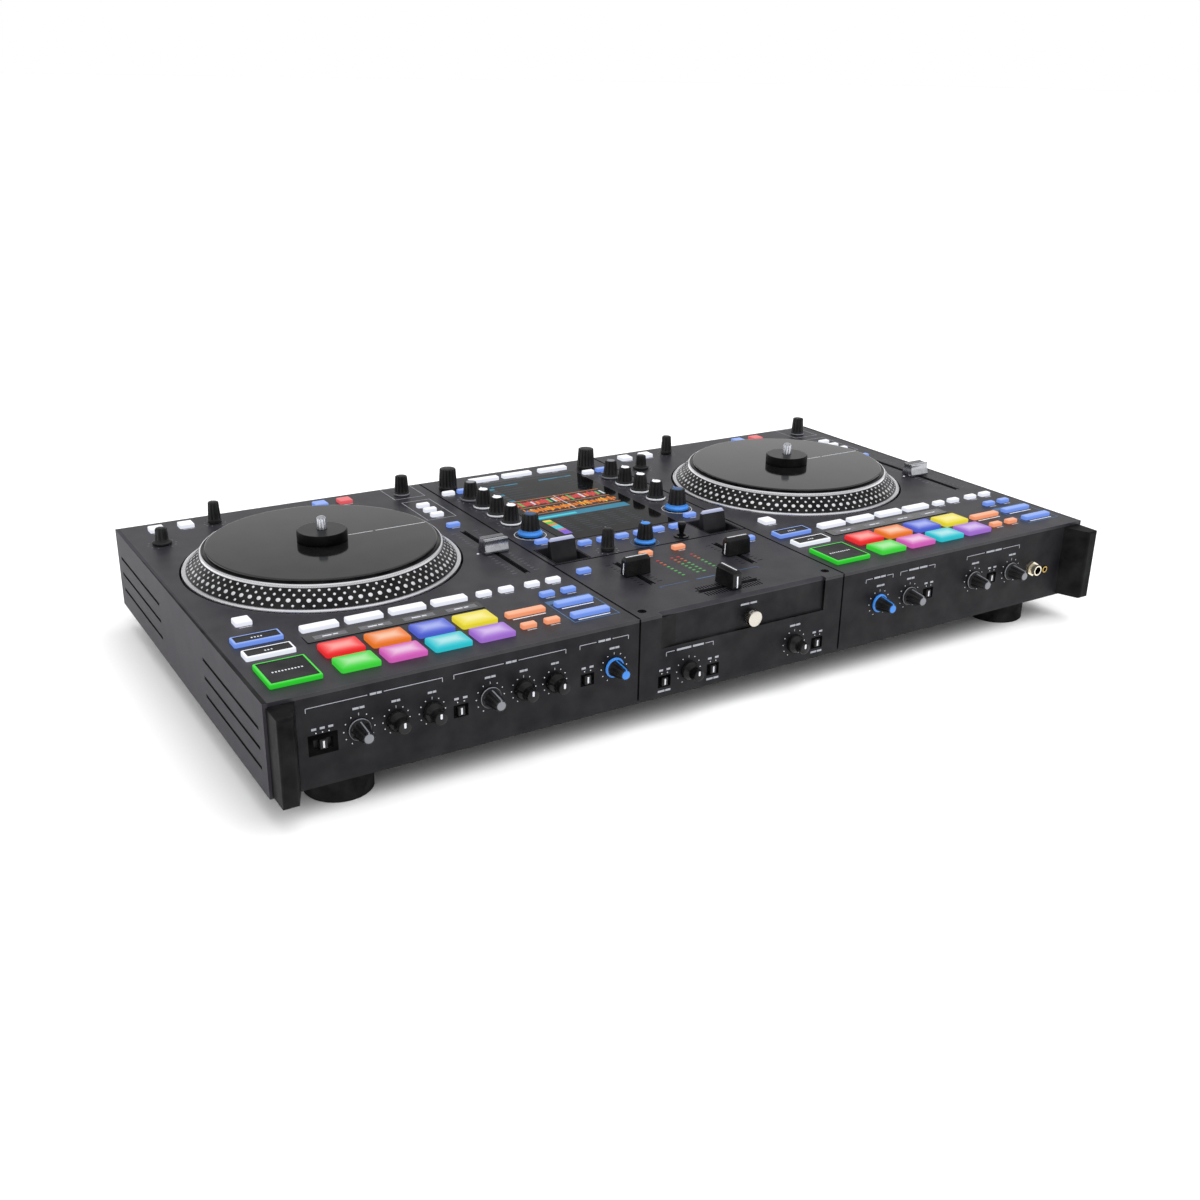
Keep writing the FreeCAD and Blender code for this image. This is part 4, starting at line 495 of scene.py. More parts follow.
def bell_knob(piece, place, kind):
    """Smooth black knob with a round foot, a slimmer end and a white mark on the end."""
    foot, end, height = kind
    profile = [(foot - 0.3, 0.6), (foot, 0.9), (foot, height * 0.2)]
    for i in range(1, 13):
        share = i / 12
        drawn_in = (foot - end) * (1 - cos(pi * share)) / 2
        profile.append((foot - drawn_in, height * (0.2 + 0.4 * share)))
    profile += [(end, height - 0.7), (end - 0.2, height - 0.2), (end - 0.6, height),
                (end * 0.3, height + 0.02)]
    piece.lathe(place, profile, "cap_gloss", segments=72)
    slab(piece, place @ Matrix.Translation((0, end * 0.42, height)), (1.6, end * 0.84), 0.75,
         [(0, -0.2), (0, 0.1), (0.15, 0.2)], "print_white")


def pointer(piece, place, kind, name):
    """Thin line along the body and across the cap's edge."""
    base, top, height, skirt, skirt_high, flutes = kind
    foot = Vector((0, base * 0.98, skirt_high + 0.6))
    head = Vector((0, top + 0.1, height - 0.5))
    way = head - foot
    out = Vector((0, way.z, -way.y)).normalized() * 0.25
    half = Vector((0.45, 0, 0))
    around = ((-1, -1), (1, -1), (1, 1), (-1, 1))
    rings = [[tuple(point + side * half + layer * out) for side, layer in around] for point in (foot, head)]
    piece.stack(place, rings, name)
    piece.box(place, (-0.45, top * 0.55, height - 0.1), (0.45, top + 0.1, height + 0.4), name)


def single_knob(name, body, place, kind, ring, cap="cap_black", line=None, slot="knob_rubber"):
    piece = moving(name, body, slot)
    knob(piece, place, kind, ring, cap, ring == "blue_plastic")
    if line:
        pointer(piece, place, kind, line)
    piece.done()


def top_knobs():
    for side, sign in SIDES:
        middle = DECKS[side]
        for use, y, colour in KNOB_ROWS:
            blue = use == "filter"
            single_knob(use + "_control_" + side, use + "_knob_" + side, on_top(sign * KNOB_COLUMN, y),
                        BLUE_KNOB if blue else STRIP_KNOB, colour, "blue_shade" if blue else colour, colour)
        single_knob("browser_" + side, "browse_encoder_" + side, on_top(*BROWSE_AT[side]), BROWSE_KNOB,
                    "cap_black")
        single_knob("flared_control_" + side, "flared_knob_" + side, on_deck(middle, FLARED_AT),
                    FLARED_KNOB, "knob_rubber", line="print_white")
        single_knob("slim_control_" + side, "slim_knob_" + side, on_deck(middle, SLIM_AT),
                    SLIM_KNOB, "knob_rubber", line="print_white")
        single_knob("encoder_control_" + side, "rear_encoder_" + side, on_deck(middle, ENCODER_AT),
                    REAR_KNOB, "grey_plastic")
    single_knob("depth_control", "effect_depth_knob", on_top(*DEPTH_AT), STRIP_KNOB, "blue_plastic",
                "blue_plastic", "blue_plastic", "knob_blue")
    single_knob("cue_mix_control", "cue_mix_knob", on_top(*CUE_MIX_AT), SLIM_KNOB, "knob_rubber",
                line="print_faint")


# Controls on the front wall: x, and how far they lie below the top
LEVELS = [("mic_level_knob_1", -300.3, "grey_plastic"), ("mic_level_knob_2", -209.1, "grey_plastic"),
          ("mic_effect_knob", -113.4, "blue_plastic"), ("sampler_knob", 131.6, "blue_plastic")]
FIXED_LEVELS = [163.5, 235.4, 278.5]
TONES = [-275.4, -250.6, -184.3, -160.5]
FRONT_KNOB_DOWN = 31.4
CONTOURS = [(-49.6, 47.6), (47.6, 47.6)]
SWITCHES = [(-324.1, 35.4), (-230.4, 36.0), (-134.7, 36.0), (184.3, 33.4), (256.2, 33.4),
            (-70.4, 52.2), (-27.8, 52.2), (70.4, 52.2)]
CONTOUR_SWITCHES = SWITCHES[5:]
POWER_SWITCH = (-262.0, 32.0)
TENSION_AT = (4.5, 17.4)
TENSION_PROFILE = [(2.9, -0.9), (2.9, 0.2), (4.7, 0.4), (4.7, 1.9), (5.6, 2.4), (6.0, 2.6), (6.1, 3.0),
                   (6.1, 7.3), (5.9, 7.8), (5.5, 8.0), (1.0, 8.0)]
COVER_DEPTH = 2.0


def front_knobs():
    for body, x, colour in LEVELS:
        single_knob(body + "_look", body, on_front(x, FRONT_KNOB_DOWN), LEVEL_KNOB, colour, colour, colour)
    trims = Piece("front_trims", "case", "knob_rubber", "front_trim_knobs")
    for x in FIXED_LEVELS:
        place = on_front(x, FRONT_KNOB_DOWN)
        knob(trims, place, LEVEL_KNOB)
        pointer(trims, place, LEVEL_KNOB, "grey_plastic")
    for x, down in [(x, FRONT_KNOB_DOWN) for x in TONES] + CONTOURS:
        bell_knob(trims, on_front(x, down), TONE_KNOB)
    trims.done()
    keys = moving("slide_keys", "slide_switches", "lit_white")
    for x, down in SWITCHES:
        slide_key(keys, on_front(x, down))
    slide_key(keys, on_rear(*POWER_SWITCH))
    keys.done()
    tension = moving("tension_control", "fader_tension_knob", "tension_nickel")
    tension.lathe(on_front(*TENSION_AT, -COVER_DEPTH), TENSION_PROFILE, "nickel", segments=72,
                  flutes=(24, 0.22, 5, 7))
    tension.done()


def slide_key(piece, place):
    """Black key with one white line, standing in its slot, over a dark foot."""
    piece.box(place, (-6.3, -4.7, -4.3), (6.3, 4.7, -3.3), "cap_black")
    slab(piece, place, (4.8, 6.4), 0.5, [(0, -3.4), (0, 0.9), (0.12, 1.1), (0.3, 1.2)], "cap_black")
    piece.box(place, (-0.6, -2.3, 1.1), (0.6, 2.3, 1.32), "print_white")


# Platters: their place on the deck, and turned sections as pairs of radius and height
PLATTER_AT = (-14.0, 31.5)
PLATTER_SECTION = [
    (3.7, -2.0), (20.0, -2.0), (20.0, 8.0), (81.4, 8.0), (99.4, -6.0), (103.8, -6.0), (104.3, -5.4),
    (104.4, 0.4), (104.2, 1.1), (103.6, 1.5), (101.6, 1.7), (101.2, 1.5), (101.0, 1.8), (90.9, 13.25),
    (90.8, 13.4), (90.6, 14.6), (90.2, 15.1), (89.4, 15.45), (88.9, 15.4), (88.3, 15.0), (87.6, 14.9),
    (86.8, 15.3), (3.7, 15.3),
]
PLATTER_LOOKS = (["platter_inner"] * 5 + ["platter_bright"] * 6 + ["platter_dark"] * 2
                 + ["platter_bright"] * 4 + ["platter_dark"] * 6)
MAT_SECTION = [(3.75, 15.45), (85.6, 15.45), (85.6, 16.15), (3.75, 16.15)]
DISC_SECTION = [(3.75, 16.2), (86.1, 16.2), (86.5, 16.5), (86.6, 17.1), (86.4, 17.6), (85.9, 17.85),
                (85.5, 17.89), (85.0, 17.9), (3.75, 17.9)]
DISC_LINES = ((20.5, 41.0), (43.0, 85.0))
PUCK_SECTION = [(3.8, 17.95), (18.5, 17.95), (19.0, 18.4), (19.05, 25.1), (18.8, 25.7), (18.3, 26.0),
                (17.6, 26.0), (4.3, 26.0), (3.8, 25.5)]

# The strobe band's two edges, and its rows of dots: share of the way up the band and radius
BAND = ((101.0, 1.9), (90.9, 13.3))
DOT_ROWS = [(0.12, 0.95), (0.39, 1.65), (0.65, 1.0), (0.88, 1.0)]
DOT_COUNT = 85
SPINDLE_TOP = 36.0


def platter_parts(side):
    place = on_deck(DECKS[side], PLATTER_AT)
    piece = moving("platter_casting_" + side, "platter_" + side, "platter_metal")
    piece.tube(place, PLATTER_SECTION, PLATTER_LOOKS, segments=180)
    nose = SPINDLE_TOP - 1.2
    piece.lathe(place, [(3.0, -26.0), (3.6, -25.5), (3.6, nose - 0.4), (3.5, nose), (2.8, SPINDLE_TOP - 0.3),
                        (2.3, SPINDLE_TOP), (0.4, SPINDLE_TOP)], "chrome", segments=96, flutes=(8, 0.6, 1, 3))
    piece.done()
    dots = Piece("strobe_dots_" + side, "platter_" + side, "platter_metal")
    low, high = Vector(BAND[0]), Vector(BAND[1])
    slope = atan2(high.y - low.y, low.x - high.x)
    for row, (share, radius) in enumerate(DOT_ROWS):
        at = low.lerp(high, share)
        for i in range(DOT_COUNT):
            angle = 2 * pi * (i + 0.5 * (row % 2)) / DOT_COUNT
            spot = (place @ Matrix.Rotation(angle, 4, "Z") @ Matrix.Translation((at.x, 0, at.y))
                    @ Matrix.Rotation(pi / 2 - slope, 4, "Y"))
            dots.lathe(spot, [(radius, -0.2), (radius, 0.06), (radius * 0.8, 0.16), (radius * 0.3, 0.2)],
                       "dot_bright", segments=12)
    dots.done()
    vinyl = moving("control_disc_" + side, "disc_" + side, "disc_vinyl")
    vinyl.tube(place, MAT_SECTION, "mat_felt", segments=144)
    vinyl.tube(place, DISC_SECTION, "disc_vinyl", segments=180)
    for inner, outer in DISC_LINES:
        vinyl.box(place, (inner, -0.35, 17.7), (outer, 0.35, 17.96), "print_white")
    vinyl.done()
    puck = moving("adapter_puck_" + side, "adapter_" + side, "adapter_plastic")
    # Painted shade: the side bands take the darker copy of the puck's black
    puck.tube(place, PUCK_SECTION, ["puck_side"] * 5 + ["puck_black"] * 4)
    puck.done()


# Faders, paddles and toggle: places, travel either way and length of the slots
PITCH_AT = (109.8, -10.6)
PITCH_TRAVEL = 51.8
PITCH_SLOT = 108.2
PITCH_HALF = 10.25
PITCH_BEND = 6.3
PITCH_SECTION = [
    (-6.9, 0.6), (-7.0, 1.2), (-6.6, 3.2), (-5.7, 5.6), (-5.2, 8.0), (-5.1, 10.0), (-5.2, 11.4),
    (-4.9, 11.95), (-4.3, 12.0), (-2.4, 11.5), (0, 11.3), (2.4, 11.5), (4.3, 12.0), (4.9, 11.95),
    (5.2, 11.4), (5.1, 10.0), (5.2, 8.0), (5.7, 5.6), (6.6, 3.2), (7.0, 1.2), (6.9, 0.6),
]
CHANNEL_X = 47.1
CHANNEL_REST = -108.0
CHANNEL_SLOT_Y = -105.3
CHANNEL_TRAVEL = 23.0
CHANNEL_SLOT = 50.6
CROSS_Y = -161.0
CROSS_TRAVEL = 24.4
CROSS_SLOT = 53.4
PADDLE_AT = (72.6, -42.0)
PADDLE_WELL = (15.6, 17.6)
TOGGLE_AT = (33.4, -52.7)
TOGGLE_PROFILE = [(0.6, -8.1), (1.9, -7.4), (2.65, -6.0), (2.5, -4.6), (1.9, -3.6), (1.9, 3.7), (2.3, 5.4),
                  (3.1, 8.4), (3.4, 10.6), (3.35, 11.8), (3.0, 12.3), (2.6, 12.4), (0.5, 12.4)]


def blade(piece, place):
    """Flat stem that joins a fader cap to its track."""
    piece.box(place, (-0.75, -2.0, -7.5), (0.75, 2.0, 0.7), "dark_steel")


def pitch_control(side):
    """Wide metal cap with a hollow top and a dark line, drawn in a little at both ends."""
    place = on_deck(DECKS[side], PITCH_AT)
    piece = moving("pitch_cap_" + side, "pitch_fader_" + side, "bright_chrome")
    half = PITCH_HALF
    rings = []
    for x, share in ((-half, 0.94), (-half + 0.4, 1.0), (half - 0.4, 1.0), (half, 0.94)):
        rings.append([(x, y * share, PITCH_BEND + (z - PITCH_BEND) * (share if z > 6 else 1.0))
                      for y, z in PITCH_SECTION])
    piece.stack(place, rings, "brushed")
    blade(piece, place)
    piece.box(place, (-half - 0.02, -0.3, 11.2), (half + 0.02, 0.3, 11.42), "print_black")
    piece.done()


def offset_ring(half_x, low_y, high_y, corner, z):
    """Ring of a rectangle with round corners, between two heights in Y."""
    ring = rounded(2 * half_x, high_y - low_y, corner, z)
    return [(x, y + (low_y + high_y) / 2, height) for x, y, height in ring]


def slider_cap(piece, place):
    """Black cap with a bevelled top, and a white line over it and down each end."""
    rings = [offset_ring(half_x, -half_y, half_y, corner, z) for half_x, half_y, corner, z in
             ((10.9, 4.2, 0.5, 0.6), (11.0, 4.3, 0.6, 0.9), (10.65, 3.75, 0.6, 12.4), (10.4, 3.5, 0.6, 13.0),
              (9.8, 2.3, 0.5, 14.6), (9.5, 2.0, 0.4, 14.85), (9.1, 1.6, 0.3, 14.9))]
    piece.stack(place, rings, "cap_gloss")
    piece.box(place, (-9.2, -0.5, 14.7), (9.2, 0.5, 15.0), "print_white")
    for side in (-1, 1):
        for low, high, reach in ((1.6, 6.0, 10.9), (6.0, 10.4, 10.7)):
            piece.box(place, (side * reach - 0.2, -0.55, low), (side * reach + 0.2, 0.55, high),
                      "white_plastic")
    blade(piece, place)


def sliders():
    for side, sign in SIDES:
        piece = moving("channel_cap_" + side, "channel_fader_" + side, "cap_plastic")
        slider_cap(piece, on_top(sign * CHANNEL_X, CHANNEL_REST))
        piece.done(12.0)
    piece = moving("crossfader_cap", "crossfader", "cap_plastic")
    slider_cap(piece, on_top(0, CROSS_Y, 0.0, pi / 2))
    piece.done(12.0)


def levers():
    for side, sign in SIDES:
        piece = moving("paddle_block_" + side, "effect_paddle_" + side, "cap_plastic")
        place = on_top(sign * PADDLE_AT[0], PADDLE_AT[1])
        levels = ((11.4, -4.2, 4.2, -12.9), (11.4, -4.2, 4.2, -2.7), (11.4, -3.9, 4.1, -1.6),
                  (11.4, -0.65, 3.25, 10.9), (11.2, -0.4, 3.1, 11.5), (9.8, 0.25, 2.25, 13.6),
                  (9.5, 0.45, 2.0, 13.8))
        rings = [offset_ring(half, low, high, 0.7, z) for half, low, high, z in levels]
        piece.stack(place, rings, ["lever_black"] * 4 + ["lit_lever"] * 3, [0, 0, 0, 0, 0.1, 0.8, 1.0])
        across = place @ Matrix.Translation((0, 0, -9.0)) @ Matrix.Rotation(pi / 2, 4, "Y")
        piece.lathe(across, [(1.5, -16.1), (1.5, 16.1)], "steel", segments=24)
        piece.done(20.0)
    piece = moving("toggle_stick", "toggle_lever", "cap_plastic")
    piece.lathe(on_top(*TOGGLE_AT), TOGGLE_PROFILE, "cap_gloss", segments=40)
    piece.done()


# Printed marks and small trim on the top
DIAL_TICKS = 11
DIAL_SWEEP = 300.0
COMB_STEPS = 20
WORD_GAP = 0.5
WORDS_DOWN = 2.2
STRIP_AT = (-14.5, -106.3)
STRIP_PLACES = [-47.0 + 32.1 * i for i in range(4)]


def dial_ticks(piece, x, y, radius):
    for i in range(DIAL_TICKS):
        angle = radians(90 + DIAL_SWEEP / 2 - DIAL_SWEEP * i / (DIAL_TICKS - 1))
        piece.bar(x + radius * cos(angle), y + radius * sin(angle), 1.4, 0.35, "print_grey", angle)


def outline(piece, low_x, low_y, high_x, high_y, width, name):
    """Four thin bars round a rectangle."""
    middle_x, middle_y = (low_x + high_x) / 2, (low_y + high_y) / 2
    for y in (low_y, high_y):
        piece.bar(middle_x, y, high_x - low_x + width, width, name)
    for x in (low_x, high_x):
        piece.bar(x, middle_y, width, high_y - low_y - width, name)


def circle_line(piece, x, y, radius, name):
    inner, outer = radius - 0.25, radius + 0.25
    piece.tube(on_top(x, y), [(inner, -PRINT), (outer, -PRINT), (outer, PRINT), (inner, PRINT)], name, 64)


def fader_scale(piece, x, y, travel, offset, name, steps):
    """Short cross lines on both sides of a slot along Y, longer at every fifth step."""
    for i in range(steps + 1):
        shift = -travel + 2 * travel * i / steps
        length = 4.6 if i % 5 == 0 else 3.0
        for side in (-1, 1):
            piece.bar(x + side * offset + side * length / 2, y + shift, length, 0.45, name)


def comb(piece, x, y, travel):
    """Black teeth on both sides of a slot along X, longer in front."""
    for i in range(COMB_STEPS + 1):
        shift = -travel + 2 * travel * i / COMB_STEPS
        piece.bar(x + shift, y - 6.8, 0.9, 6.4, "print_black")
        piece.bar(x + shift, y + 5.6, 0.9, 4.0, "print_black")


def words(piece, x, y, width, name="print_grey", height=1.3):
    """Stand-in for a printed label: two plain bars, not letters."""
    first = width * 0.55
    piece.bar(x - width / 2 + first / 2, y, first - WORD_GAP, height, name)
    piece.bar(x + width / 2 - (width - first) / 2, y, width - first, height, name)


def deck_marks(side):
    middle = DECKS[side]
    marks = Piece("deck_marks_" + side, "case", "lit_white")
    dial_ticks(marks, middle + FLARED_AT[0], FLARED_AT[1], 10.6)
    dial_ticks(marks, middle + SLIM_AT[0], SLIM_AT[1], 8.6)
    outline(marks, middle + 91.6, -166.6, middle + 127.6, -124.6, 0.8, "print_dusk")
    marks.bar(middle + 109.6, -127.6, 35.2, 5.2, "print_dusk", high=PRINT / 2)
    for y in (-140.9, -163.6):
        words(marks, middle + 109.0, y, 26.0, "print_white")
    outline(marks, middle + 95.5, 149.0, middle + 124.0, 182.0, 0.5, "print_grey")
    outline(marks, middle + 97.0, 84.0, middle + 123.0, 138.0, 0.5, "print_grey")
    for x, y, size, light in DECK_BUTTONS:
        if size is not LONG:
            words(marks, middle + x, y - size[1] / 2 - WORDS_DOWN, 9.0 if size is SQUARE else 7.5)
    words(marks, middle + 69.5, -141.9, 26.0, "print_white")
    x, y = middle + PITCH_AT[0], PITCH_AT[1]
    fader_scale(marks, x, y, PITCH_TRAVEL, 7.0, "print_faint", 20)
    marks.lathe(on_top(x - 13.8, y), [(1.0, -PRINT), (1.0, 0.2), (0.6, 0.4)], "lit_white", segments=20)
    slot_trim(marks, x, y, PITCH_SLOT)
    strip = on_deck(middle, STRIP_AT)
    for x in STRIP_PLACES:
        marks.box(strip, (x - 11.5, -3.0, 0.45), (x + 11.5, 3.0, 0.56), "strip_grey")
        marks.box(strip, (x - 5.5, -0.7, 0.5), (x + 1.0, 0.7, 0.62), "print_white")
        marks.box(strip, (x + 2.0, -0.7, 0.5), (x + 5.5, 0.7, 0.62), "print_white")
    marks.done()


def slot_trim(piece, x, y, length, across=False):
    """Two dark lips along a fader slot."""
    for side in (-1, 1):
        if across:
            piece.bar(x, y + side * 1.9, length + 3.0, 0.9, "print_black")
        else:
            piece.bar(x + side * 1.9, y, 0.9, length + 3.0, "print_black")


METER_COLUMNS = [-16.2, -3.0, 3.0, 15.7]
METER_LOW = -126.6
METER_STEP = 4.95
METER_LIGHTS = ["meter_green"] * 5 + ["meter_orange"] * 2 + ["meter_red"]


def mixer_marks():
    marks = Piece("mixer_marks", "case", "lit_white")
    for sign in (-1, 1):
        for use, y, colour in KNOB_ROWS:
            dial_ticks(marks, sign * KNOB_COLUMN, y, 11.2)
        circle_line(marks, sign * KNOB_COLUMN, FILTER_Y, 13.0, "print_white")
        fader_scale(marks, sign * CHANNEL_X, CHANNEL_SLOT_Y, CHANNEL_TRAVEL, 6.0, "print_black", 10)
        slot_trim(marks, sign * CHANNEL_X, CHANNEL_SLOT_Y, CHANNEL_SLOT)
        well_x, well_y = sign * PADDLE_AT[0], PADDLE_AT[1]
        outline(marks, well_x - PADDLE_WELL[0], well_y - PADDLE_WELL[1], well_x + PADDLE_WELL[0],
                well_y + PADDLE_WELL[1], 0.6, "print_black")
        marks.bar(sign * 32.0 - 1.0, -139.0, 26.0, 0.5, "print_dusk")
        marks.bar(sign * 45.0 - 1.0, -140.4, 0.5, 2.8, "print_dusk")
    words(marks, -4.5, -139.0, 17.0, "print_dusk", 1.4)
    # Painted shade: two thin near-black lines beside the fader plate's rear seam and beside each centre seam,
    # standing in for the shade in the gaps
    rear_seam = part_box("fader_plate")[1].y / MM - SHIFT_Y + 0.3
    for shift in (-SEAM_SHADE_OFFSET, SEAM_SHADE_OFFSET):
        marks.bar(0, rear_seam + shift, 2 * HALF_CENTRE - 2.0, SEAM_SHADE_WIDTH, "print_black")
        for sign in (-1, 1):
            marks.bar(sign * HALF_CENTRE + shift, 0, SEAM_SHADE_WIDTH, REAR - FRONT - 2.0, "print_black")
    comb(marks, 0, CROSS_Y, CROSS_TRAVEL)
    slot_trim(marks, 0, CROSS_Y, CROSS_SLOT, across=True)
    circle_line(marks, *DEPTH_AT, 11.4, "print_dusk")
    dial_ticks(marks, *CUE_MIX_AT, 8.6)
    for x in METER_COLUMNS:
        for i, light in enumerate(METER_LIGHTS):
            slab(marks, on_top(x, METER_LOW + METER_STEP * i), (2.7, 1.7), 0.4,
                 [(0, -0.3), (0, 0.08), (0.2, 0.2)], light, [0.2, 0.6, 1.0])
    for x, y, size, light in MIXER_BUTTONS:
        words(marks, x, y - size[1] / 2 - WORDS_DOWN, 6.5)
    marks.done()


# Marks on the front wall; a bracket has its two ends, its distance below the top and its words' width
BRACKET_DOWN = 9.6
FRONT_BRACKETS = [(-334.0, -243.0, BRACKET_DOWN, 8.0), (-235.0, -152.0, BRACKET_DOWN, 8.0),
                  (-141.0, -102.0, BRACKET_DOWN, 10.0), (116.0, 144.0, BRACKET_DOWN, 12.0),
                  (152.0, 189.0, BRACKET_DOWN, 20.0), (225.0, 286.0, BRACKET_DOWN, 18.0),
                  (-69.5, -28.5, 30.0, 24.0)]
SWITCH_WINDOW = 7.4


def front_bar(piece, x, down, width, height, name="print_grey", out=0.0):
    place = on_front(x, down, out)
    piece.box(place, (-width / 2, -height / 2, -PRINT), (width / 2, height / 2, PRINT), name)


def front_dot(piece, x, down, radius=0.4):
    piece.lathe(on_front(x, down), [(radius, -PRINT), (radius, PRINT), (radius * 0.4, PRINT + 0.02)],
                "print_white", segments=12)


def front_words(piece, x, down, width, height=1.5, out=0.0):
    front_bar(piece, x - width * 0.22, down, width * 0.52, height, out=out)
    front_bar(piece, x + width * 0.3, down, width * 0.4, height, out=out)


def front_dial(piece, x, down, radius, label):
    """Round dots every thirty degrees, a short bar above, and a label over that."""
    for i in range(11):
        angle = radians(240 - 30 * i)
        across, up = radius * cos(angle), radius * sin(angle)
        if i == 5:
            front_bar(piece, x, down - up, 0.5, 1.7)
        else:
            front_dot(piece, x + across, down - up)
    if label:
        front_words(piece, x, down - radius - 4.2, label)


def switch_trim(piece, at, width, rim, places, dots_up, words_up):
    """Dark frame round a slide key, with a dot and a bar above each of its places."""
    x, down = at
    half_x, half_y = width / 2, SWITCH_WINDOW / 2
    for low, high in (((-half_x - rim, half_y), (half_x + rim, half_y + rim)),
                      ((-half_x - rim, -half_y - rim), (half_x + rim, -half_y)),
                      ((-half_x - rim, -half_y), (-half_x, half_y)),
                      ((half_x, -half_y), (half_x + rim, half_y))):
        piece.box(on_front(x, down), (*low, -0.3), (*high, 0.3), "print_black")
    for shift in places:
        front_dot(piece, x + shift, down - dots_up)
        front_bar(piece, x + shift * 1.3, down - words_up, 3.2, 1.5)


def front_marks():
    marks = Piece("front_marks", "case", "lit_white")
    for low, high, down, words_width in FRONT_BRACKETS:
        middle = (low + high) / 2
        gap = words_width / 2 + 1.5
        front_bar(marks, (low + middle - gap) / 2, down, middle - gap - low, 0.45)
        front_bar(marks, (high + middle + gap) / 2, down, high - middle - gap, 0.45)
        front_words(marks, middle, down, words_width)
        for x in (low, high):
            front_bar(marks, x, down + 1.5, 0.45, 3.0)
    front_words(marks, 3.5, 7.6, 15.0, 1.4, out=-COVER_DEPTH)
    for x, down in CONTOUR_SWITCHES:
        front_words(marks, x, down + 7.4, 11.0)
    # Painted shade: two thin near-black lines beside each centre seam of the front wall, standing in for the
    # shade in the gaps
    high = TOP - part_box("front_panels")[0].z / MM - 1.0
    for sign in (-1, 1):
        for shift in (-SEAM_SHADE_OFFSET, SEAM_SHADE_OFFSET):
            front_bar(marks, sign * HALF_CENTRE + shift, high / 2 + 0.5, SEAM_SHADE_WIDTH, high, "print_black")
    for x in [x for body, x, colour in LEVELS] + FIXED_LEVELS:
        front_dial(marks, x, FRONT_KNOB_DOWN, 10.3, 8.0)
    for x in TONES:
        front_dial(marks, x, FRONT_KNOB_DOWN, 9.2, 6.0)
    for x, down in CONTOURS:
        front_dial(marks, x, down, 10.3, 10.0 if x > 0 else 0)
    switch_trim(marks, SWITCHES[0], 12.6, 3.2, (-4.2, 0.0, 4.2), 8.0, 10.8)
    for at in SWITCHES[1:]:
        switch_trim(marks, at, 9.0, 0.7, (-2.4, 2.4), 6.4, 9.0)
    marks.done()


# Screen: a plain generic layout on dark glass, between two corners of the lit part
SCREEN_TOP = 0.3
VIEW_LOW = (-47.6, -7.0)
VIEW_HIGH = (42.5, 152.0)
LIST_ROWS = 8
ROW_STEP = 6.6
WAVE_LINES = (92.5, 72.6, 53.4)
INDEX_TOP = 31.0
INDEX_STEP = 4.8
INDEX_COLOURS = ("yellow", "green", "orange", "cyan", "cyan", "pink", "purple", "purple")
WAVE_COLOURS = ("orange", "red", "white", "red", "green", "red", "back")
LOW_WAVE_COLOURS = ("orange", "yellow", "orange", "brown")
SCREEN_COLOURS = {
    "teal": (30, 120, 150), "dim": (30, 33, 38), "red": (206, 48, 44),
    "orange": (226, 128, 44), "white": (206, 212, 218),
    "green": (70, 186, 76), "yellow": (226, 206, 66), "pink": (176, 120, 150),
    "purple": (124, 88, 204), "cyan": (60, 196, 210), "brown": (120, 66, 26),
    "back": (8, 10, 12), "line": (46, 50, 56),
}
for name, value in SCREEN_COLOURS.items():
    look("shown_" + name, mixed(srgb(*value), BLACK, 0.85), 0.08, 0.04, 0.07, 0.0, glow=srgb(*value),
         edge_glow=srgb(*value), strength=0.85)


def lit_bar(piece, low_x, low_y, high_x, high_y, name, layer=2):
    """Lit rectangle; a higher layer covers a lower one."""
    piece.box(on_top(0, 0, SCREEN_TOP), (low_x, low_y, -0.05), (high_x, high_y, 0.02 * layer),
              "shown_" + name)


def track_list(shown, left, right, high):
    """Faint rows, each with a small picture, two bars and a short one at the end."""
    lit_bar(shown, left, high - 5.0, right, high - 0.6, "dim")
    lit_bar(shown, left, high - 12.0, left + 34, high - 9.6, "teal")
    lit_bar(shown, right - 34, high - 12.0, right, high - 9.6, "teal")
    for row in range(LIST_ROWS):
        y = high - 10.5 - ROW_STEP * row
        lit_bar(shown, left + 1, y - 3.1, right - 1, y - 2.9, "dim")
        length = 14 + 9 * abs(sin(row * 2.3))
        lit_bar(shown, left + 10, y + 0.3, left + 10 + length, y + 1.2, "line", 3)
        lit_bar(shown, left + 10, y - 1.5, left + 10 + length * 0.7, y - 0.7, "dim", 3)
        lit_bar(shown, right - 14, y - 0.5, right - 6, y + 0.5, "line", 3)
        lit_bar(shown, left + 2, y - 2.2, left + 7, y + 2.2, "teal" if row % 3 == 1 else "line")


def wave_row(shown, base, count, least, swing, colours, phase):
    """Sound wave made of upright blocks about a line."""
    step = (VIEW_HIGH[0] - VIEW_LOW[0] - 1.0) / count
    for i in range(count):
        x = VIEW_LOW[0] + 0.5 + step * i
        height = least + swing * abs(sin(i * 1.7 + phase) * sin(i * 0.61 + phase))
        colour = colours[(i * i + i // 3) % len(colours)]
        lit_bar(shown, x, base - height, x + step * 0.84, base + height, colour)


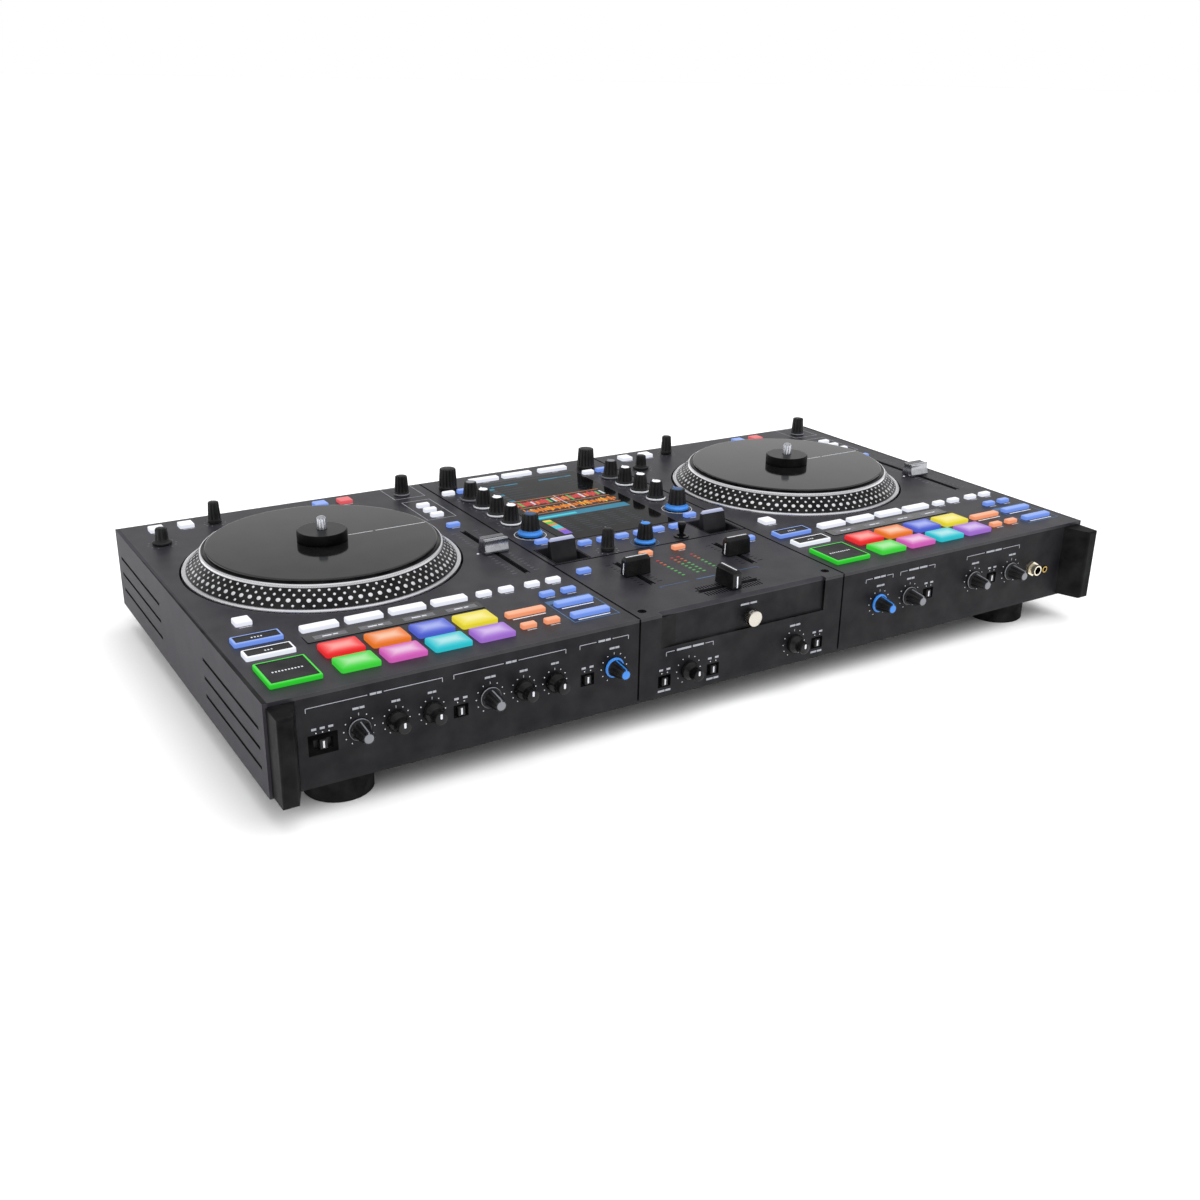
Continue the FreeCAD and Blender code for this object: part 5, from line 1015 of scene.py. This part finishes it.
def screen_picture():
    """From the rear: list, two waves, title bar and coloured index."""
    shown = Piece("screen_picture", "case", "screen_glass")
    left, low = VIEW_LOW
    right, high = VIEW_HIGH
    lit_bar(shown, left, low, right, high, "back", 1)
    track_list(shown, left, right, high)
    for y in WAVE_LINES:
        lit_bar(shown, left, y, right, y + 0.8, "orange")
    wave_row(shown, 82.8, 38, 3.8, 3.6, WAVE_COLOURS, 0.4)
    lit_bar(shown, left, 60.6, right, 65.4, "orange")
    wave_row(shown, 63.0, 60, 2.2, 4.8, LOW_WAVE_COLOURS, 1.7)
    lit_bar(shown, left + 44, 54.0, left + 44.7, 94.0, "white", 4)
    lit_bar(shown, left, 38.0, right, 48.5, "teal")
    lit_bar(shown, left, 40.6, left + 38, 44.5, "cyan", 3)
    for i, name in enumerate(INDEX_COLOURS):
        y = INDEX_TOP - INDEX_STEP * i
        lit_bar(shown, left + 0.5, y, left + 8.0, y + 4.6, name)
        lit_bar(shown, left + 10, y - 0.4, right - 2, y - 0.2, "dim")
        for k in range(5):
            x = left + 12 + 15 * k
            lit_bar(shown, x, y + 1.4, x + 7 + (i * k) % 4, y + 2.5, "line")
    for vertex in shown.mesh.verts:
        vertex[shown.depth] = 1.0
    shown.done()


# Materials of the CAD nodes that stay
def paint(node, name, slot, rule=None):
    """Give a CAD node its material; the rule may name another one for a face."""
    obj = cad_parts[node]
    mesh = obj.data
    names = [name]
    mesh.materials.clear()
    mesh.materials.append(LOOKS[name])
    for polygon in mesh.polygons:
        other = rule(polygon.center / MM, polygon.normal) if rule else None
        chosen = other or name
        if chosen not in names:
            names.append(chosen)
            mesh.materials.append(LOOKS[chosen])
        polygon.material_index = names.index(chosen)


# Sockets: x, distance below the top and bore on the front; x alone on the rear
FRONT_SOCKETS = [(303.8, 33.4, 3.2), (321.0, 37.5, 1.8)]
ROUND_SOCKETS = (-215.0, -180.0, 170.0, 205.0)
PAIRED_SOCKETS = (-66.0, -42.0, -18.0)
DATA_SOCKETS = (26.0, 46.0, 67.0, 122.0)
SOCKETS_DOWN = 32.0
INLET_X = -300.0


def socket_look(middle, normal):
    """Material of each socket, by its place along the front or the rear wall."""
    if middle.y < 0:
        for x, down, bore in FRONT_SOCKETS:
            if hypot(middle.x - x, TOP - middle.z - down) < bore + 0.15:
                return "print_black"
        return "brass" if middle.x > FRONT_SOCKETS[1][0] - 4.0 else "pale_gold"
    down = TOP - middle.z
    for x in ROUND_SOCKETS:
        if abs(middle.x - x) < 13.2:
            reach = hypot(middle.x - x, down - SOCKETS_DOWN)
            return "steel" if reach > 10.0 else "cap_black"
    for x in PAIRED_SOCKETS:
        if abs(middle.x - x) < 7.0:
            if middle.y - SHIFT_Y > REAR + 1.2:
                return "nickel"
            return "red_plastic" if down > SOCKETS_DOWN else "white_plastic"
    for x in DATA_SOCKETS:
        if abs(middle.x - x) < 9.5:
            return "steel"
    return "cap_black" if abs(middle.x - INLET_X) < 15.0 else "nickel"


def side_look(middle, normal):
    """Painted shade in the grooves, which lie a little inside the outer face."""
    inside = abs(abs(middle.x) - HALF_WIDTH)
    outer_face = abs(normal.x) >= 0.5 and inside <= 0.2
    return "groove_dark" if not outer_face and inside < 1.6 and abs(normal.y) < 0.9 else None


def mixer_look(middle, normal):
    """Black collar round the toggle's hole."""
    reach = hypot(middle.x - TOGGLE_AT[0], middle.y - SHIFT_Y - TOGGLE_AT[1])
    return "cap_gloss" if reach < 6.6 and middle.z > TOP + 0.05 else None


def front_look(middle, normal):
    """Painted shade in the recess under the fader plate: near-black walls and lips, and a darker slanted
    ramp.
    """
    if abs(middle.x) > 76.0 or TOP - middle.z > 28.0:
        return None
    if normal.y > -0.5:
        return "seam_dark"
    return "groove_dark" if abs(normal.x) > 0.08 else None


def screw_look(middle, normal):
    """Screws in the fader plate painted near-black as the shade in their dimples, steel ones below."""
    return "seam_dark" if middle.z > TOP - 12.0 else None


def board_look(middle, normal):
    """Dark sides of the parts that stand up under the top plates."""
    return "dark_steel" if middle.z > TOP - 9.0 and abs(normal.z) < 0.5 else None


CASE_LOOKS = [
    ("lower_case", "under_paint", "front_paint"),
    ("side_panels", "side_metal", "side_metal", side_look),
    ("front_panels", "front_paint", "front_paint", front_look),
    ("deck_plates", "top_paint", "top_paint"),
    ("label_strips", "black_gloss", "strip_gloss"),
    ("mixer_plate", "top_paint", "top_paint", mixer_look),
    ("fader_plate", "top_paint", "top_paint"),
    ("corner_grips", "grip_plastic", "grip_plastic"),
    ("feet", "foot_rubber", "foot_rubber"),
    ("touch_screen", "screen_black", "screen_glass"),
    ("platter_motors", "steel", "motor_steel"),
    ("circuit_boards", "board_green", "board_green", board_look),
    ("connectors", "nickel", "socket_metal", socket_look),
    ("screws", "steel", "screw_steel", screw_look),
]


# Stage: the sky's brightness by the sine of its height, and the suns with the way their light travels
SKY = [(0.14, 1.0), (0.28, 0.72), (0.36, 0.52), (0.5, 0.4), (0.8, 0.75), (1.0, 1.0)]
FLOOR_REACH = 60.0
SUNS = [("key", 2.3, 62.0, (-0.28, 0.42, -0.86)), ("fill", 0.8, 80.0, (0.6, 0.1, -0.6))]


def stage_and_lights():
    """Pale floor, sky, and two wide suns that no gloss mirrors."""
    mesh = bpy.data.meshes.new("floor")
    reach = FLOOR_REACH
    mesh.from_pydata([(-reach, -reach, 0), (reach, -reach, 0), (reach, reach, 0), (-reach, reach, 0)], [],
                     [(0, 1, 2, 3)])
    floor = add_object("floor", mesh)
    look("floor_paper", (0.98, 0.98, 0.98, 1.0), 0.9, 0.01, bump=0.0, scale=3.0)
    mesh.materials.append(LOOKS["floor_paper"])
    world = bpy.data.worlds.new("studio")
    bpy.context.scene.world = world
    world.use_nodes = True
    tree = world.node_tree
    background = tree.nodes["Background"]
    place = tree.nodes.new("ShaderNodeTexCoord")
    split = tree.nodes.new("ShaderNodeSeparateXYZ")
    tree.links.new(place.outputs["Generated"], split.inputs["Vector"])
    add_ramp(tree, split.outputs["Z"], background.inputs["Color"],
             [(height, (bright, bright, bright, 1.0)) for height, bright in SKY])
    background.inputs["Strength"].default_value = 1.0
    for name, energy, angle, way in SUNS:
        light = bpy.data.lights.new(name, "SUN")
        light.energy = energy
        light.angle = radians(angle)
        made = add_object(name, light)
        made.rotation_euler = Vector(way).to_track_quat("-Z", "Y").to_euler()
        made.visible_glossy = False


# Camera fitted to the photo: lens in millimetres, place in metres, turn in degrees
LENS = 39.64
CAMERA_AT = (-0.56303, -0.87757, 0.43582)
CAMERA_TURN = (68.287, -0.967, -31.626)


def camera():
    data = bpy.data.cameras.new("camera")
    data.lens = LENS
    data.sensor_width = 36.0
    data.clip_end = 200.0
    made = add_object("camera", data)
    made.location = CAMERA_AT
    made.rotation_euler = [radians(angle) for angle in CAMERA_TURN]
    bpy.context.scene.camera = made


for node, name, slot, *rule in CASE_LOOKS:
    paint(node, name, slot, *rule)
for side in DECKS:
    deck_keys(side)
    platter_parts(side)
    pitch_control(side)
    deck_marks(side)
mixer_keys()
top_knobs()
front_knobs()
sliders()
levers()
mixer_marks()
front_marks()
screen_picture()
stage_and_lights()
camera()
bpy.context.scene.view_settings.view_transform = "Standard"
